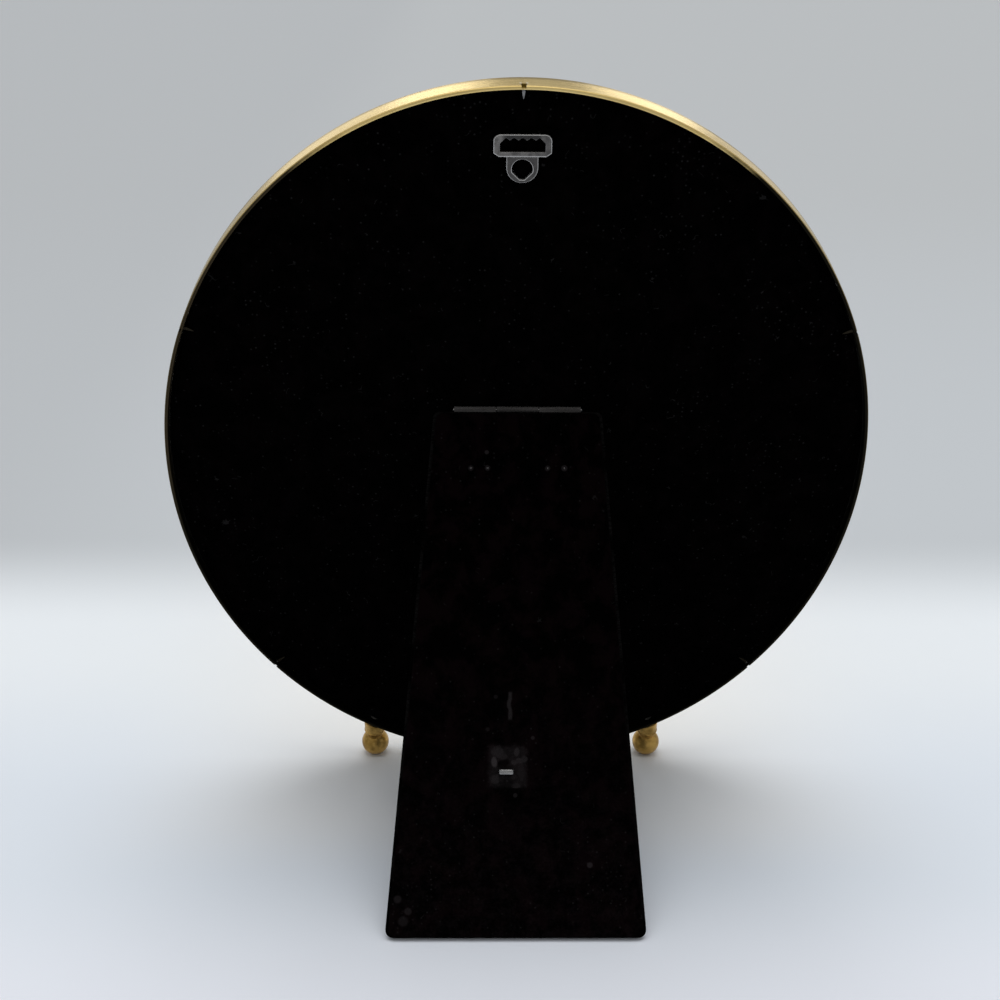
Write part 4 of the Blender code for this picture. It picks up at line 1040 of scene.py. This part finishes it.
def floor():
    """Pale plain floor, greyer in front of the frame beyond about its own height, with painted light near
    the frame.
    """
    paint = Paint("floor_paper")
    x, y, _ = paint.parts(paint.spot("Object"))
    tooth = paint.noise(paint.spot("Object"), 60.0, 3.0, 0.5)
    # Painted light: the near floor is darker from just in front of the frame to just behind it, and lighter
    # again towards the camera, in place of the lamps' falloff.
    near = paint.mix(y.step(-0.10, -0.01), (0.785, 0.825, 0.865), (0.70, 0.75, 0.815))
    near = paint.mix(y.step(0.015, 0.065), near, (0.765, 0.795, 0.86))
    # Painted light: a paler, more neutral tone under and in front of the frame, where its shadow falls.
    middle = (1.0 - abs(x).step(0.05, 0.13)) * (1.0 - y.step(-0.01, 0.02)) * 0.9
    near = paint.mix(middle, near, (0.80, 0.82, 0.84))
    away = paint.mix((-y).step(0.2, 0.9), (0.53, 0.56, 0.59), (0.49, 0.51, 0.525))
    # Painted shade: the far floor greys towards +x.
    away = paint.mix(x.step(0.08, 0.24) * 0.6, away, (0.45, 0.47, 0.49))
    far = (-y).step(0.112, 0.188)
    colour = paint.mix(tooth * 0.03, paint.mix(far, near, away), (0.5, 0.5, 0.5))
    material = paint.set(Base_Color=colour, Roughness=0.9, Specular_IOR_Level=0.0)
    mesh = bpy.data.meshes.new("floor")
    size = 14.0
    mesh.from_pydata([(-size, -size, 0.0), (size, -size, 0.0), (size, size, 0.0), (-size, size, 0.0)], [],
                     [(0, 1, 2, 3)])
    cover(mesh, material)
    add("floor", mesh)


def soft_lamp(name, azimuth, elevation, width, strength):
    """Broad distant lamp, its angles in degrees: azimuth starts straight in front, width is the disc's."""
    lamp = bpy.data.lights.new(name, "SUN")
    lamp.angle = math.radians(width)
    lamp.energy = strength
    made = add(name, lamp)
    turn, rise = math.radians(azimuth), math.radians(elevation)
    place = Vector((math.sin(turn) * math.cos(rise), -math.cos(turn) * math.cos(rise), math.sin(rise)))
    made.rotation_euler = place.to_track_quat("Z", "Y").to_euler()


def lights():
    """Plain sky light, broad lamps overhead and behind, and small faint ones low in front, to either side.

    The sky is seen, and mirrored in metal and glass, as a backdrop about as pale as the far floor.
    """
    paint = Paint("studio", "worlds", "Background")
    ray = paint.node("ShaderNodeLightPath")
    mirrored = ray("Is Glossy Ray").most(ray("Is Transmission Ray"))
    paint.set(Color=(1.0, 1.0, 1.0), Strength=0.32 + 0.08 * mirrored + 0.18 * ray("Is Camera Ray"))
    bpy.context.scene.world = paint.material
    soft_lamp("lamp_overhead", 0.0, 88.0, 46.0, 1.55)
    soft_lamp("lamp_behind", 180.0, 78.0, 90.0, 0.50)
    soft_lamp("lamp_left", 12.0, 28.0, 14.0, 0.105)
    soft_lamp("lamp_left_low", 23.0, 16.0, 22.0, 0.092)
    soft_lamp("lamp_right", -19.0, 22.0, 16.0, 0.115)
    soft_lamp("lamp_right_low", -24.0, 6.0, 18.0, 0.030)


def camera():
    """Camera at the photograph's place, behind the frame and a little above it. Angles are in radians."""
    yaw, elevation, distance = 0.0255, 0.4417, 4.0157 * HALF_WIDTH
    pan, tilt, roll = -0.0116, 0.014, 0.0083
    half_view = math.radians(20.0)
    aim = Vector((0.0, -14.904 * MM, HALF_WIDTH))
    back = Vector((math.sin(yaw) * math.cos(elevation), math.cos(yaw) * math.cos(elevation),
                   math.sin(elevation)))
    eye = aim + back * distance

    def right_and_up(ahead):
        right = ahead.cross(Vector((0.0, 0.0, 1.0))).normalized()
        return right, right.cross(ahead)

    right, up = right_and_up(-back)
    ahead = (right * pan - back + up * tilt).normalized()
    right, up = right_and_up(ahead)
    side = right * math.cos(roll) + up * math.sin(roll)
    top = up * math.cos(roll) - right * math.sin(roll)
    data = bpy.data.cameras.new("camera")
    data.sensor_width = 36.0
    data.lens = data.sensor_width / 2 / math.tan(half_view)
    data.clip_start = 0.01
    data.clip_end = 100.0
    made = add("camera", data)
    made.matrix_world = Matrix.Translation(eye) @ Matrix((side, top, -ahead)).transposed().to_4x4()
    bpy.context.scene.camera = made


rim()
tongues()
moulding()
back_cloth()
leg_cloth("leg_velvet_back", "leg_velvet_outer", LEG_OUTER_FACE - LEG_VELVET, LEG_OUTER_FACE, 0.7 * MM)
leg_cloth("leg_velvet_front", "leg_velvet_inner", LEG_INNER_FACE + LEG_VELVET, LEG_INNER_FACE, 0.0)
ball_foot(-1, "left")
ball_foot(1, "right")
hanger()
staples()
ribbon()
floor()
lights()
camera()
bpy.context.scene.view_settings.view_transform = "Standard"
